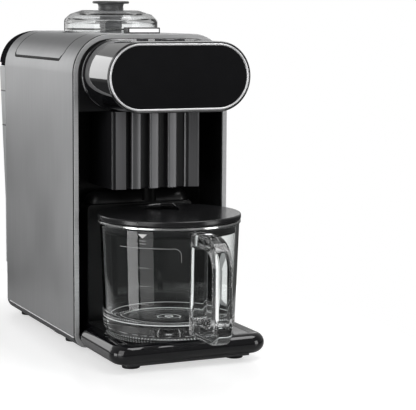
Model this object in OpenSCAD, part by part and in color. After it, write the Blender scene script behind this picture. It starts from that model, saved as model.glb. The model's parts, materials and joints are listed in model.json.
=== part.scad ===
// Countertop soy milk maker with a grinding chamber, jug, drip tray and rear water tank.
// Millimetres, +Z up. Shapes are placed from the front trim's face, with +Y towards the rear;
// the whole part is then moved so that its origin is the middle of its footprint on the table.

/* [Housing] */
// Width of the housing
body_w = 170; // [168:1:184]
// Height of the housing's flat top above the table
body_h = 323; // [319:1:335]
// Depth of the housing behind the front trim's face
body_d = 228; // [224:1:245]
// Radius of the two upper long edges
top_r = 40; // [37:1:43]
// Radius of the two lower long edges
bottom_r = 13; // [10:1:14]
// Thickness of the side shell
shell_t = 2.5; // [1.5:0.1:2.8]
// Height of the side shell's lower edge above the table
panel_z = 15; // [12:1:17]
// Wall thickness of the base pan
pan_t = 3; // [2.9:0.1:3.4]
// Height of the rubber feet
foot_h = 4; // [3:0.5:5]
// Radius of the rubber feet
foot_r = 9; // [7:0.5:10]

/* [Front trim and recess] */
// Width of the front trim's face
trim_face = 5.3; // [5.2:0.1:6]
// Depth of the front trim
trim_d = 2.5; // [2:0.5:4]
// Width of the dark seams between housing panels
seam = 0.8; // [0.4:0.1:0.9]
// Depth of the recess behind the trim's face
recess_d = 56; // [54:1:57]
// Wall thickness of the recess liner
liner_t = 2.5; // [2:0.1:2.8]
// Width of the panel at the back of the recess
panel_w = 120; // [100:1:130]
// Height of the panel's flat front above the table
panel_h = 147; // [140:1:149]
// Distance that the panel stands out from the back of the recess
panel_depth = 26; // [22:1:27]

/* [Top cover] */
// Distance of the cover's front edge behind the trim's face
cover_y = 42; // [36:1:50]
// Length of the cover
cover_len = 158; // [150:1:165]
// Distance of the cover's side edges below the housing's top
cover_drop = 27.5; // [23:0.5:31]
// Chamfer at the cover's front lower corners
cover_chamfer = 7; // [4:0.5:10]
// Radius at the cover's rear lower corners
cover_rear_r = 8; // [4:0.5:12]

/* [Head] */
// Width of the head
head_w = 152.8; // [146:0.2:154]
// Height of the head
head_h = 69.6; // [66:0.2:72]
// Distance from the trim's face to the head's front
head_reach = 72; // [68:1:80]
// Wall thickness of the head shell
head_t = 2; // [1.5:0.1:2.5]
// Gap between the head's top and the trim's inner edge
head_gap = 0.7; // [0.5:0.1:2]
// Width of the bright ring's face
ring_w = 2; // [1.5:0.1:3]
// Thickness of the front plate
plate_t = 3; // [2:0.1:4]

/* [Spout cover] */
// Width of the ribbed spout cover
spout_w = 94; // [84:1:100]
// Height of the cover's underside above the table
spout_z = 166; // [164:1:170]
// Distance from the trim's face to the ribs' front
spout_reach = 10; // [8:1:12]
// Spacing of the ribs
rib_pitch = 19.5; // [18:0.5:20]
// Width of a rib
rib_w = 10.5; // [8:0.5:12]
// Height of a rib
rib_h = 3; // [2:0.5:3.5]
// Wall thickness of the spout cover
spout_t = 2.5; // [2:0.1:3]
// Radius of the spout nozzle
nozzle_r = 7.5; // [6:0.1:8]
// Distance of the nozzle behind the trim's face
nozzle_y = 8; // [7.5:0.5:9]
// Outer radius of the milk tube
milk_tube_r = 7.5; // [7:0.1:8]

/* [Jug] */
// Distance from the trim's face to the jug's axis
jug_y = 45; // [44:1:48]
// Height of the glass
jug_h = 112.7; // [108:0.1:114]
// Outer radius of the glass at its rim
jug_top_r = 70.5; // [68:0.5:71]
// Outer radius of the glass at its foot
jug_foot_r = 66.5; // [64:0.5:67]
// Thickness of the glass
jug_wall = 3; // [2:0.1:3.5]
// Thickness of the jug's glass floor
jug_floor = 11; // [9:0.5:12]
// How far the glass rim's lip stands out
jug_lip = 1.2; // [0.6:0.1:1.2]
// Radius of the bend at the jug's foot
jug_bend = 11; // [8:0.5:14]
// Width of the handle
handle_w = 18; // [14:0.5:20]
// Distance from the glass rim to the handle's outer face
handle_reach = 60.5; // [56:0.5:66]
// Thickness of the handle's grip
handle_grip = 13; // [10:0.5:14]
// Height of the handle's underside above the jug's foot
handle_low = 6.7; // [5:0.1:10]
// Height of the handle
handle_h = 101.5; // [96:0.5:102]
// Radius of the lid
jug_lid_r = 72; // [71.2:0.1:74]
// Thickness of the lid's disc
jug_lid_t = 5.7; // [4:0.1:6]
// Height of the lid's grip above the disc
jug_boss_h = 7; // [5:0.5:9]
// Radius of the lid's grip
jug_boss_r = 20; // [16:0.5:22]
// Distance of the lid's grip behind the jug's axis
jug_boss_y = 17; // [12:0.5:20]

/* [Drip tray] */
// Width of the tray
tray_w = 166; // [160:1:168]
// Distance from the trim's face to the tray's front
tray_reach = 108; // [106:1:116]
// Height of the tray
tray_h = 20; // [18:0.5:21]
// Radius of the tray's front corners
tray_front_r = 18; // [14:0.5:24]
// Radius of the tray's rear corners
tray_rear_r = 14; // [12:0.5:16]
// Thickness of the drip plate
drip_plate_t = 2.4; // [2:0.1:3]

/* [Chamber] */
// Distance from the trim's face to the chamber's axis
chamber_y = 116; // [114:0.5:117]
// Outer radius of the grinding cup
cup_r = 46; // [44:0.5:47]
// Wall thickness of the grinding cup
cup_t = 1.2; // [0.8:0.1:2]
// Height of the motor deck's underside above the table
deck_z = 172; // [168:1:176]
// Thickness of the motor deck
deck_t = 4; // [3:0.5:5]
// Height of the chamber base
chamber_base_h = 30; // [28:0.5:34]
// Height of the band heater
heater_h = 26; // [18:1:34]
// Outer radius of the chamber lid
dome_r = 50.5; // [49:0.5:51.5]
// Height of the chamber lid's straight band
dome_band = 9.4; // [7:0.1:11]
// Height of the chamber lid above the housing's top, without its knob
dome_h = 24; // [21:0.5:28]
// Wall thickness of the chamber lid
dome_t = 2.5; // [2:0.1:3]
// Radius of the lid's knob
knob_r = 20; // [17:0.5:24]
// Thickness of the knob's disc
knob_t = 2.9; // [2.5:0.1:5]
// Height of the knob's neck
knob_neck_h = 6.6; // [5:0.1:10]
// Radius of the knob's neck
knob_neck_r = 14; // [10:0.5:15]
// Radius of the post under the knob, inside the lid
lid_post_r = 12.5; // [9:0.5:14]

/* [Motor and pump] */
// Outer radius of the motor housing
motor_r = 40; // [37:0.5:42]
// Height of the motor housing
motor_h = 106; // [98:1:108]
// Radius of the drive shaft
shaft_r = 5; // [4:0.1:6]
// Radius of the blade's tips
blade_r = 30; // [24:1:36]
// Radius of the cooling fan
fan_r = 34; // [28:1:36]
// Radius of the water pump
pump_r = 14; // [12:0.5:15]
// Height of the water pump
pump_h = 35; // [30:1:38]
// Outer radius of the water tubes
water_tube_r = 5; // [4.5:0.1:5.5]

/* [Water tank] */
// Distance of the tank's rim below the housing's top
tank_drop = 40.5; // [40.5:0.5:47]
// Wall thickness of the tank
tank_t = 2.5; // [2:0.1:3]
// Distance that the tank's upper part stands out behind the housing
tank_out = 20; // [17:0.5:26]
// Distance that the tank's lower part stands out behind the housing
tank_out_low = 3; // [2.9:0.1:5]
// Height at which the tank's rear starts to slope out
tank_slope_z = 130; // [110:1:160]
// Height of the tank bay's floor above the table
bay_floor_z = 58; // [56:1:62]
// Wall thickness of the tank bay
bay_t = 2.5; // [2:0.1:3]
// Radius of the rear upper edge of the tank lid
tank_lid_r = 14; // [8:0.5:15]

/* [Controls] */
// Radius of the start key
start_key_r = 8; // [6:0.5:9]
// Width of a menu key
key_w = 12; // [9:0.5:13]
// Length of a menu key
key_l = 8; // [6:0.5:10]
// Spacing of the menu keys
key_pitch = 20; // [16:0.5:22]
// Travel of the keys
key_travel = 1; // [0.6:0.1:1.2]

/* [Clearances] */
// Gap between pieces that are fitted together or pass each other
fit = 0.3; // [0.2:0.05:0.35]
// Radial gap of a shaft or pin in its bore
running = 0.05; // [0.03:0.01:0.08]

/* [Hidden] */
$fn = 96;
reach = 2 * body_w;
front_reach = jug_y + jug_top_r + handle_reach;
rear_reach = body_d + tank_out;
trim_y = (front_reach - rear_reach) / 2;

shell_y = trim_d + seam;
cover_z = body_h - cover_drop;
tank_top = body_h - tank_drop;
pan_floor = foot_h + pan_t;
inner_gap = max(shell_t, pan_t) + fit;

tongue_t = pan_t - fit;
tongue_w = 132;
tongue_reach = tray_reach - 12;
tray_z = foot_h + tongue_t + fit;
tray_top = tray_z + tray_h;
tray_rear_w = 136;
tray_rear_lift = 3;
tray_rear_y = recess_d - panel_depth - 6;
trim_gap_w = tray_rear_w + 3;

head_z = body_h - trim_face - head_gap - head_h / 2;
head_r = head_h / 2;
recess_z = head_z - head_r - 2;
fascia_hole = 8;
plate_back = 3;
ledge = 6;

jug_z = tray_top + fit;
jug_rim = jug_z + jug_h;
jug_lip_h = 3;
jug_lid_top = jug_rim + fit + jug_lid_t;
grip_edge_h = jug_boss_h - 4;
grip_dome_r = (pow(jug_boss_r, 2) + pow(jug_boss_h - grip_edge_h, 2)) / (2 * (jug_boss_h - grip_edge_h));
grip_wall = 2.5;
grip_turn = -25;

deck_top = deck_z + deck_t;
cup_z = deck_top + chamber_base_h - 3;
cup_top = body_h - 5;
base_r = cup_r + 6;
collar_r = cup_r + 6;
collar_low = cup_top - 18;
cup_in = cup_r - cup_t;
drain_in = 14;
drain_y = chamber_y - cup_r + drain_in;
drain_r = 4;

motor_low = deck_z - motor_h;
motor_wall = 2.5;
end_plate = 8;
bearing_r = 11;
bearing_h = 7;
stator_low = motor_low + 24;
stator_h = 50;
rotor_r = 23.4;
air_gap = 0.6;
fan_h = 8;
fan_low = motor_low - 12;
shaft_low = fan_low - 2;
blade_z = cup_z + 9;
blade_t = 3;
shaft_tip_r = shaft_r - 1;
shaft_top = blade_z + blade_t + 7;
nut_top = shaft_top + 2;

bay_y = chamber_y + base_r + 1;
tank_y = bay_y + bay_t + 0.7;
tank_w = body_w - 2 * (inner_gap + 1.7);
tank_z = bay_floor_z + fit;
bay_floor_t = 4;
tank_rear = body_d + 0.5;
tank_lid_y = body_d + 0.8;
tank_lid_z = tank_top + 0.9;
lid_barrel_r = 2.5;
lid_axis_y = rear_reach - lid_barrel_r;
lid_axis_z = tank_top + 2.5;
lid_barrel_w = 140;
lid_pin_r = 1.5;
lid_pin_l = 4;
ear_w = 3;
ear_r = 2.4;

tank_cut_d = 6;
tank_cut_up = 30;
tank_cut_z = tank_slope_z + tank_cut_up;
ledge_w = 80;
ledge_d = 6;
ledge_t = 5;
outlet_in = 28;
outlet_x = body_w / 2 - outlet_in;
outlet_z = bay_floor_z + 14;
outlet_r = 6;
socket_r = 9;
socket_l = 16;
socket_end = 6;
pump_y = bay_y - 22;
pump_in_y = pump_y + 9;
pump_out_x = outlet_x + 6;
pump_out_y = pump_y - 9;
barb_r = water_tube_r - 1.8;
barb_l = 8;
barb_wall = 1.2;
pump_top = pan_floor + pump_h;
feed_z = collar_low + 6;

nozzle_low = spout_z - 14;
valve_w = 26;
valve_l = 24;
valve_h = 29;
flange_t = 2.5;
valve_z = spout_z + spout_t + flange_t;
valve_y = nozzle_y - 5;
milk_z = deck_top + 10;
milk_barb_r = milk_tube_r - 2.3;
solenoid_r = 12.5;
solenoid_tip = 4;
solenoid_gap = 4;
valve_top = valve_z + valve_h;
solenoid_h = recess_z - valve_top - solenoid_tip - solenoid_gap;

board_in = 45;
board_x = board_in - body_w / 2;
board_y = 106;
board_w = 52;
board_l = 84;
board_t = 1.6;
board_z = pan_floor + 7;
pillar_r = 3;
filter_r = 8;
filter_h = 20;
cap_r = 6;
cap_h = 16;
relay_w = 22;
relay_l = 28;
relay_h = 18;
sink_w = 10;
sink_l = 38;
sink_h = 12;

window_w = 74;
window_l = 46;
window_y = -35;
panel_lip = 3;
panel_flange_t = 2.4;
head_top = head_z + head_r;
panel_under = head_top - head_t - panel_flange_t;
start_key_y = window_y - 10;
menu_key_y = window_y + 13;
key_proud = 1.2;
key_lip = 1.2;
key_lip_t = 0.8;
key_foot_z = panel_under - key_lip_t - 0.2;
switch_h = 2.2;
switch_w = 6;
pcb_t = 1.6;
stem_r = 2;
stem_h = 2.9;
pcb_z = key_foot_z - stem_h - key_travel - fit - switch_h - pcb_t;
menu_keys = [-1, 0, 1];

foot_places = [[56, 27 - tray_reach], [body_w / 2 - 19, 55], [body_w / 2 - 19, body_d - 23]];
foot_screw_r = 2;
post_w = 35;
post_l = 14;
post_h = 6.2;
post_y = 21;
post_r = 1;
post_rim = 1.2;
foot_head_r = 4;
foot_head_t = 1.5;

socket_w = 26;
socket_h = 18;
socket_d = 18;
socket_wall = 2;
socket_in = 40;
socket_x = socket_in - body_w / 2;
socket_z = 35;

// Extrusion of an (x, z) outline from y0 to y1
module along_y(y0, y1) {
    translate([0, y1, 0]) rotate([90, 0, 0]) linear_extrude(y1 - y0) children();
}

// Extrusion of a (y, z) outline from x0 to x1
module along_x(x0, x1) {
    translate([x0, 0, 0]) rotate([90, 0, 90]) linear_extrude(x1 - x0) children();
}

// Box from its lowest and highest corners
module box(low, high) {
    translate(low) cube(high - low);
}

// Cylinder along Y from y0 to y1
module rod_y(x, z, y0, y1, r) {
    translate([x, y1, z]) rotate([90, 0, 0]) cylinder(h = y1 - y0, r = r);
}

// Cylinder along X from x0 to x1
module rod_x(y, z, x0, x1, r) {
    translate([x0, y, z]) rotate([0, 90, 0]) cylinder(h = x1 - x0, r = r);
}

// Upright cylinder from z0 to z1
module rod_z(x, y, z0, z1, r) {
    translate([x, y, z0]) cylinder(h = z1 - z0, r = r);
}

// Upright ring from z0 to z1
module ring_z(x, y, z0, z1, r_in, r_out) {
    difference() {
        rod_z(x, y, z0, z1, r_out);
        rod_z(x, y, z0 - 1, z1 + 1, r_in);
    }
}

// Outline with one radius for the lower corners and one for the upper corners
module rounded_outline(w, z0, z1, r0, r1) {
    translate([-w / 2, z0 + r0]) square([w, z1 - z0 - r0 - r1]);
    translate([r1 - w / 2, z0 + r0]) square([w - 2 * r1, z1 - z0 - r0]);
    translate([r0 - w / 2, z0]) square([w - 2 * r0, z1 - z0 - r1]);
    for (s = [-1, 1]) {
        translate([s * (w / 2 - r1), z1 - r1]) circle(r1);
        translate([s * (w / 2 - r0), z0 + r0]) circle(r0);
    }
}

// The housing's cross-section, drawn in by inset
module section(inset) {
    rounded_outline(body_w - 2 * inset, foot_h + inset, body_h - inset,
                    max(bottom_r - inset, 1), top_r - inset);
}

// The head's outline, drawn in by inset
module stadium(inset) {
    r = head_r - inset;
    half = head_w / 2 - head_r;
    translate([-half, head_z - r]) square([2 * half, 2 * r]);
    for (s = [-1, 1]) translate([s * half, head_z]) circle(r);
}

// Everything from z0 up to z1
module slice(z0, z1) {
    box([-reach, -reach, z0], [reach, reach, z1]);
}

// The top cover's outline seen from the side, drawn in by inset
module cover_outline(inset) {
    y0 = cover_y + inset;
    y1 = cover_y + cover_len - inset;
    z0 = cover_z + inset;
    r = cover_rear_r - inset;
    above = body_h + 1;
    polygon([[y0, above], [y0, z0 + cover_chamfer], [y0 + cover_chamfer, z0],
             [y1 - r, z0], [y1 - r, above]]);
    translate([y1 - r - 0.1, z0 + r]) square([r + 0.1, above - z0 - r]);
    translate([y1 - r, z0 + r]) circle(r);
}

module side_shell() {
    color("#8c8e91") difference() {
        along_y(shell_y, body_d) difference() {
            section(0);
            section(shell_t);
        }
        slice(-1, panel_z);
        along_x(-reach, reach) cover_outline(0);
    }
}

module top_cover() {
    color("#8c8e91") difference() {
        intersection() {
            along_y(shell_y, body_d) difference() {
                section(0);
                section(shell_t);
            }
            along_x(-reach, reach) cover_outline(seam);
        }
        rod_z(0, chamber_y, body_h - 2 * shell_t, body_h + 1, collar_r + fit);
    }
}

module front_trim() {
    color("#8c8e91") difference() {
        along_y(0, trim_d) difference() {
            section(0);
            section(trim_face);
        }
        box([-trim_gap_w / 2, -1, 0], [trim_gap_w / 2, trim_d + 1, foot_h + 2 * trim_face]);
    }
}

module recess_liner() {
    wall_end = recess_d + liner_t;
    color("#101012") difference() {
        union() {
            intersection() {
                along_y(trim_d, wall_end) difference() {
                    section(shell_t + fit);
                    section(trim_face);
                }
                slice(panel_z + 6, body_h);
            }
            intersection() {
                along_y(recess_d, wall_end) section(trim_face - fit);
                slice(pan_floor, recess_z + liner_t);
            }
            intersection() {
                along_y(trim_d, wall_end) section(trim_face - fit);
                slice(recess_z, recess_z + liner_t);
            }
            intersection() {
                along_y(fit, trim_d) section(trim_face + fit);
                slice(recess_z, body_h);
            }
            intersection() {
                along_y(trim_d, trim_d + liner_t) section(trim_face - fit);
                slice(recess_z, body_h);
            }
        }
        intersection() {
            along_y(-1, recess_d - 1) stadium(fascia_hole);
            slice(recess_z + liner_t, body_h);
        }
        rod_y(0, milk_z, recess_d - 1, wall_end + 1, milk_tube_r + 1);
    }
}

module recess_panel() {
    front = recess_d - panel_depth;
    ridge = panel_depth / 2;
    color("#151517") difference() {
        union() {
            box([-panel_w / 2, front, pan_floor], [panel_w / 2, recess_d, panel_h]);
            intersection() {
                along_x(2 - panel_w / 2, panel_w / 2 - 2) translate([front + ridge, panel_h]) circle(ridge);
                slice(panel_h - 1, panel_h + ridge);
            }
        }
        box([liner_t - panel_w / 2, front + liner_t, pan_floor - 1],
            [panel_w / 2 - liner_t, recess_d + 1, panel_h - liner_t]);
    }
}

module base_pan() {
    color("#4a4b4e") difference() {
        union() {
            intersection() {
                difference() {
                    along_y(shell_y, body_d) section(0);
                    along_y(shell_y - 1, body_d - pan_t) section(pan_t);
                }
                slice(0, panel_z);
            }
            box([-tongue_w / 2, -tongue_reach, foot_h], [tongue_w / 2, shell_y + 1, foot_h + tongue_t]);
            for (s = [-1, 1]) {
                rod_z(s * (body_w / 2 - 11), recess_d + 14, pan_floor - 1, deck_z, 5);
            }
            for (sx = [-1, 1], sy = [-1, 1]) {
                translate([board_x + sx * (board_w / 2 - 5), board_y + sy * (board_l / 2 - 5), 0])
                    rod_z(0, 0, pan_floor - 1, board_z, pillar_r);
            }
        }
        for (s = [-1, 1], p = foot_places) {
            rod_z(s * p[0], p[1], 0, pan_floor + 1, foot_screw_r + 0.1);
        }
    }
}

module rubber_feet() {
    color("#1b1b1b") for (s = [-1, 1], p = foot_places) {
        translate([s * p[0], p[1], 0]) difference() {
            rod_z(0, 0, 0, foot_h, foot_r);
            rod_z(0, 0, -1, foot_h + 1, foot_screw_r + 0.1);
            rod_z(0, 0, -1, foot_h / 2, foot_head_r + fit);
        }
    }
}

module foot_screws() {
    color("silver") for (s = [-1, 1], p = foot_places) {
        translate([s * p[0], p[1], 0]) {
            rod_z(0, 0, foot_h / 2 - foot_head_t, foot_h / 2, foot_head_r);
            rod_z(0, 0, foot_h / 2, foot_h + tongue_t - 0.2, foot_screw_r);
        }
    }
}

module tank_bay() {
    color("#232325") difference() {
        union() {
            intersection() {
                along_y(bay_y, bay_y + bay_t) section(inner_gap);
                slice(0, collar_low - 2);
            }
            intersection() {
                along_y(bay_y, body_d) section(inner_gap);
                slice(bay_floor_z - bay_floor_t, bay_floor_z);
            }
            box([-ledge_w / 2, bay_y - ledge_d, deck_z - ledge_t], [ledge_w / 2, bay_y + 1, deck_z]);
        }
        rod_y(outlet_x, outlet_z, bay_y - 1, bay_y + bay_t + 1, outlet_r + 0.6);
    }
}

module rear_cover() {
    vents = 7;
    color("#232325") difference() {
        intersection() {
            along_y(body_d - pan_t, body_d) section(inner_gap);
            slice(panel_z, bay_floor_z - bay_floor_t - fit);
        }
        box([socket_x - socket_w / 2 - fit, 0, socket_z - socket_h / 2 - fit],
            [socket_x + socket_w / 2 + fit, reach, socket_z + socket_h / 2 + fit]);
        for (i = [0 : vents - 1]) {
            box([i * 11 - 8, 0, socket_z - 11], [i * 11 - 4, reach, socket_z + 11]);
        }
    }
}

module power_inlet() {
    w = socket_w - 2 * socket_wall;
    h = socket_h - 2 * socket_wall;
    color("#1a1a1a") translate([socket_x, body_d, socket_z]) {
        difference() {
            union() {
                box([-socket_w / 2, -socket_d - socket_wall, -socket_h / 2],
                    [socket_w / 2, 1.5, socket_h / 2]);
                box([-socket_w / 2 - 3, 0, -socket_h / 2 - 3],
                    [socket_w / 2 + 3, 1.5, socket_h / 2 + 3]);
            }
            box([-w / 2, -socket_d, -h / 2], [w / 2, 2, h / 2]);
        }
        for (x = [-6, 0, 6]) {
            box([x - 1, -socket_d - 1, -5], [x + 1, -4, -1]);
        }
    }
}

module motor_deck() {
    color("#2f3033") difference() {
        box([-body_w / 2 + inner_gap, recess_d + liner_t + fit, deck_z],
            [body_w / 2 - inner_gap, bay_y - fit, deck_top]);
        rod_z(0, chamber_y, deck_z - 1, deck_top + 1, bearing_r + 2);
        rod_z(pump_out_x, pump_out_y, deck_z - 1, deck_top + 1, water_tube_r + fit);
        for (a = [45 : 90 : 315]) {
            translate([0, chamber_y, 0]) rotate(a)
                rod_z(motor_r - 8, 0, deck_z - 1, deck_top + 1, foot_screw_r + 0.1);
        }
    }
}

module head_shell() {
    rear = fit;
    color("#0c0c0e") difference() {
        union() {
            along_y(-head_reach, rear) stadium(0);
            along_y(rear - 3.3, rear) stadium(-0.6);
        }
        along_y(-head_reach - 1, plate_t + plate_back - head_reach) stadium(head_t);
        along_y(plate_t + plate_back - head_reach - 1, plate_t + 2 * plate_back - head_reach)
            stadium(ledge);
        along_y(plate_t + 2 * plate_back - head_reach - 1, rear + 1) stadium(head_t);
        box([-window_w / 2, window_y - window_l / 2, head_z],
            [window_w / 2, window_y + window_l / 2, body_h]);
    }
}

module head_ring() {
    color("#e8e8ea") along_y(-head_reach - 0.4, plate_t + plate_back - head_reach) difference() {
        stadium(head_t + 0.1);
        stadium(head_t + 0.1 + ring_w);
    }
}

module front_plate() {
    back = plate_t + plate_back - head_reach;
    color("#050506") along_y(back - plate_t - plate_back + 0.4, back) stadium(head_t + ring_w + 0.2);
}

module control_panel() {
    lip_w = window_w + 2 * panel_lip;
    lip_l = window_l + 2 * panel_lip;
    color("#111113") difference() {
        union() {
            box([fit - window_w / 2, window_y - window_l / 2 + fit, head_top - head_t - 0.1],
                [window_w / 2 - fit, window_y + window_l / 2 - fit, head_top]);
            box([-lip_w / 2, window_y - lip_l / 2, panel_under],
                [lip_w / 2, window_y + lip_l / 2, head_top - head_t]);
            for (sx = [-1, 1], sy = [-1, 1]) {
                translate([sx * (window_w / 2 - 4), window_y + sy * (window_l / 2 - 2), 0])
                    rod_z(0, 0, pcb_z + pcb_t, panel_under + 1, 2);
            }
        }
        rod_z(0, start_key_y, panel_under - 1, body_h, start_key_r + fit);
        for (i = menu_keys) {
            translate([i * key_pitch, menu_key_y, panel_under - 1])
                key_block(key_w + 2 * fit, key_l + 2 * fit, 9);
        }
    }
}

// Key body with rounded ends
module key_block(w, l, h) {
    linear_extrude(h) {
        square([w - l, l], center = true);
        for (s = [-1, 1]) translate([s * (w - l) / 2, 0]) circle(l / 2);
    }
}

module control_board() {
    color("#1f5a34") box([-window_w / 2, window_y - window_l / 2, pcb_z],
                         [window_w / 2, window_y + window_l / 2, pcb_z + pcb_t]);
}

module key_switches() {
    half = switch_w / 2;
    low = pcb_z + pcb_t;
    color("#222222") {
        box([-half, start_key_y - half, low], [half, start_key_y + half, low + switch_h]);
        for (i = menu_keys) {
            box([i * key_pitch - half, menu_key_y - half, low],
                [i * key_pitch + half, menu_key_y + half, low + switch_h]);
        }
    }
}

module spout_cover() {
    front = rib_h - spout_reach;
    half = spout_w / 2;
    color("#18181a") {
        difference() {
            box([-half, front, spout_z], [half, recess_d, recess_z]);
            box([spout_t - half, front + spout_t, spout_z + spout_t],
                [half - spout_t, recess_d + 1, recess_z + 1]);
            rod_z(0, nozzle_y, spout_z - 1, spout_z + spout_t + 1, nozzle_r + fit);
        }
        for (i = [-1 : 1]) {
            box([i * rib_pitch - rib_w / 2, -spout_reach, spout_z],
                [i * rib_pitch + rib_w / 2, front + 0.1, recess_z]);
        }
        for (s = [0, 1]) mirror([s, 0, 0]) {
            box([2 * rib_pitch - rib_w / 2, -spout_reach, spout_z], [half, front + 0.1, recess_z]);
        }
    }
}

module spout_nozzle() {
    color("#3a3a3d") difference() {
        union() {
            rod_z(0, nozzle_y, nozzle_low, valve_z, nozzle_r);
            rod_z(0, nozzle_y, spout_z + spout_t, valve_z, nozzle_r + 4);
        }
        rod_z(0, nozzle_y, nozzle_low - 1, valve_z + 1, nozzle_r - 2.5);
    }
}

module outlet_valve() {
    rear = valve_y + valve_l;
    color("#d9d9d4") difference() {
        union() {
            box([-valve_w / 2, valve_y, valve_z], [valve_w / 2, rear, valve_z + valve_h]);
            rod_y(0, milk_z, rear - 1, rear + barb_l, milk_barb_r);
        }
        rod_z(0, nozzle_y, valve_z - 1, milk_z, nozzle_r - 2.5);
        rod_y(0, milk_z, nozzle_y, rear + barb_l + 1, milk_barb_r - 1.5);
    }
}

module valve_solenoid() {
    high = valve_top + solenoid_h;
    mid = valve_y + valve_l / 2;
    color("#303338") {
        rod_z(0, mid, valve_top, high, solenoid_r);
        rod_z(0, mid, high, high + solenoid_tip, solenoid_r / 2);
    }
}

module milk_tube() {
    color("#e6e2d8") difference() {
        rod_y(0, milk_z, valve_y + valve_l + fit, chamber_y - base_r - fit, milk_tube_r);
        rod_y(0, milk_z, valve_y, chamber_y, milk_barb_r + 0.1);
    }
}

module chamber_base() {
    top = deck_top + chamber_base_h;
    color("#2b2b2e") difference() {
        union() {
            rod_z(0, chamber_y, deck_top, top, base_r);
            rod_y(0, milk_z, chamber_y - base_r - barb_l, chamber_y, milk_barb_r);
        }
        rod_z(0, chamber_y, cup_z, top + 1, cup_r + fit);
        rod_z(0, chamber_y, deck_top - 1, cup_z + 1, shaft_r + 1);
        rod_z(0, chamber_y, cup_z - bearing_h, cup_z + 1, bearing_r);
        difference() {
            rod_z(0, chamber_y, deck_top - 1, deck_top + 4, cup_r - 4);
            rod_z(0, chamber_y, deck_top - 2, deck_top + 5, bearing_r + 4);
        }
        rod_y(0, milk_z, chamber_y - base_r - barb_l - 1, drain_y, milk_barb_r - 1.5);
        rod_z(0, drain_y, milk_z, cup_z + 1, drain_r);
    }
}

module chamber_cup() {
    color("#c9cbce") difference() {
        rod_z(0, chamber_y, cup_z, cup_top, cup_r);
        rod_z(0, chamber_y, cup_z + 2, cup_top + 1, cup_in);
        rod_z(0, chamber_y, cup_z - 1, cup_z + 3, shaft_r + 1);
        rod_z(0, drain_y, cup_z - 1, cup_z + 3, drain_r);
    }
}

module chamber_collar() {
    color("#1c1c1e") difference() {
        union() {
            rod_z(0, chamber_y, collar_low, body_h, collar_r);
            intersection() {
                rod_z(0, chamber_y, body_h - shell_t - 3.5, body_h - shell_t, collar_r + 5);
                box([top_r + 1 - body_w / 2, 0, 0], [body_w / 2 - top_r - 1, reach, body_h]);
            }
            rod_x(pump_out_y, feed_z, 0, collar_r + barb_l, barb_r);
        }
        rod_z(0, chamber_y, collar_low - 1, cup_top, cup_r + fit);
        rod_z(0, chamber_y, collar_low - 1, body_h + 1, cup_in);
        rod_x(pump_out_y, feed_z, 0, 2 * collar_r, barb_r - barb_wall);
    }
}

module band_heater() {
    low = deck_top + chamber_base_h;
    color("#b9a27a") ring_z(0, chamber_y, low, low + heater_h, cup_r + fit, base_r - 1);
}

module shaft_seal() {
    color("#6b2f2a") ring_z(0, chamber_y, cup_z - bearing_h, cup_z, shaft_r + running, bearing_r - running);
}

module motor_housing() {
    color("#77797d") difference() {
        rod_z(0, chamber_y, motor_low, deck_z, motor_r);
        rod_z(0, chamber_y, motor_low + end_plate, deck_z - end_plate, motor_r - motor_wall);
        rod_z(0, chamber_y, deck_z - bearing_h, deck_z + 1, bearing_r);
        rod_z(0, chamber_y, motor_low + end_plate - bearing_h, motor_low + end_plate + 1, bearing_r);
        rod_z(0, chamber_y, motor_low - 1, deck_z + 1, shaft_r + 1);
        for (a = [45 : 90 : 315]) {
            translate([0, chamber_y, 0]) rotate(a)
                rod_z(motor_r - 8, 0, deck_z - end_plate - 1, deck_z + 1, foot_screw_r + 0.1);
        }
    }
}

module motor_stator() {
    out = motor_r - motor_wall - running;
    color("#8a4b2a") {
        ring_z(0, chamber_y, stator_low, stator_low + stator_h, rotor_r + air_gap, out);
        ring_z(0, chamber_y, stator_low + stator_h, stator_low + stator_h + 9, rotor_r + 3, out - 3);
        ring_z(0, chamber_y, stator_low - 9, stator_low, rotor_r + 3, out - 3);
    }
}

module motor_bearings() {
    color("#c0c2c6") for (z = [motor_low + end_plate - bearing_h, deck_z - bearing_h]) {
        ring_z(0, chamber_y, z, z + bearing_h, shaft_r + running, bearing_r - running);
    }
}

module motor_screws() {
    color("silver") for (a = [45 : 90 : 315]) {
        translate([0, chamber_y, 0]) rotate(a) {
            rod_z(motor_r - 8, 0, deck_z - end_plate + 1, deck_top, foot_screw_r);
            rod_z(motor_r - 8, 0, deck_top, deck_top + 3, foot_head_r);
        }
    }
}

module water_pump() {
    color("#2d4a63") {
        rod_z(outlet_x, pump_y, pan_floor, pump_top, pump_r);
        rod_z(outlet_x, pump_in_y, pump_top - 1, pump_top + barb_l, barb_r);
        rod_z(pump_out_x, pump_out_y, pump_top - 1, pump_top + barb_l, barb_r);
    }
}

module tank_socket() {
    front = bay_y - socket_l;
    color("#3b3c40") difference() {
        union() {
            rod_y(outlet_x, outlet_z, front, bay_y, socket_r);
            rod_z(outlet_x, pump_in_y, outlet_z - socket_r - barb_l, outlet_z, barb_r);
        }
        rod_y(outlet_x, outlet_z, front + socket_end, bay_y + 1, outlet_r + fit);
        rod_z(outlet_x, pump_in_y, outlet_z - socket_r - barb_l - 1, outlet_z, barb_r - barb_wall);
    }
}

module suction_tube() {
    color("#dcdcd8") ring_z(outlet_x, pump_in_y, pump_top + fit, outlet_z - socket_r - fit,
                            barb_r + 0.1, water_tube_r);
}

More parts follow.
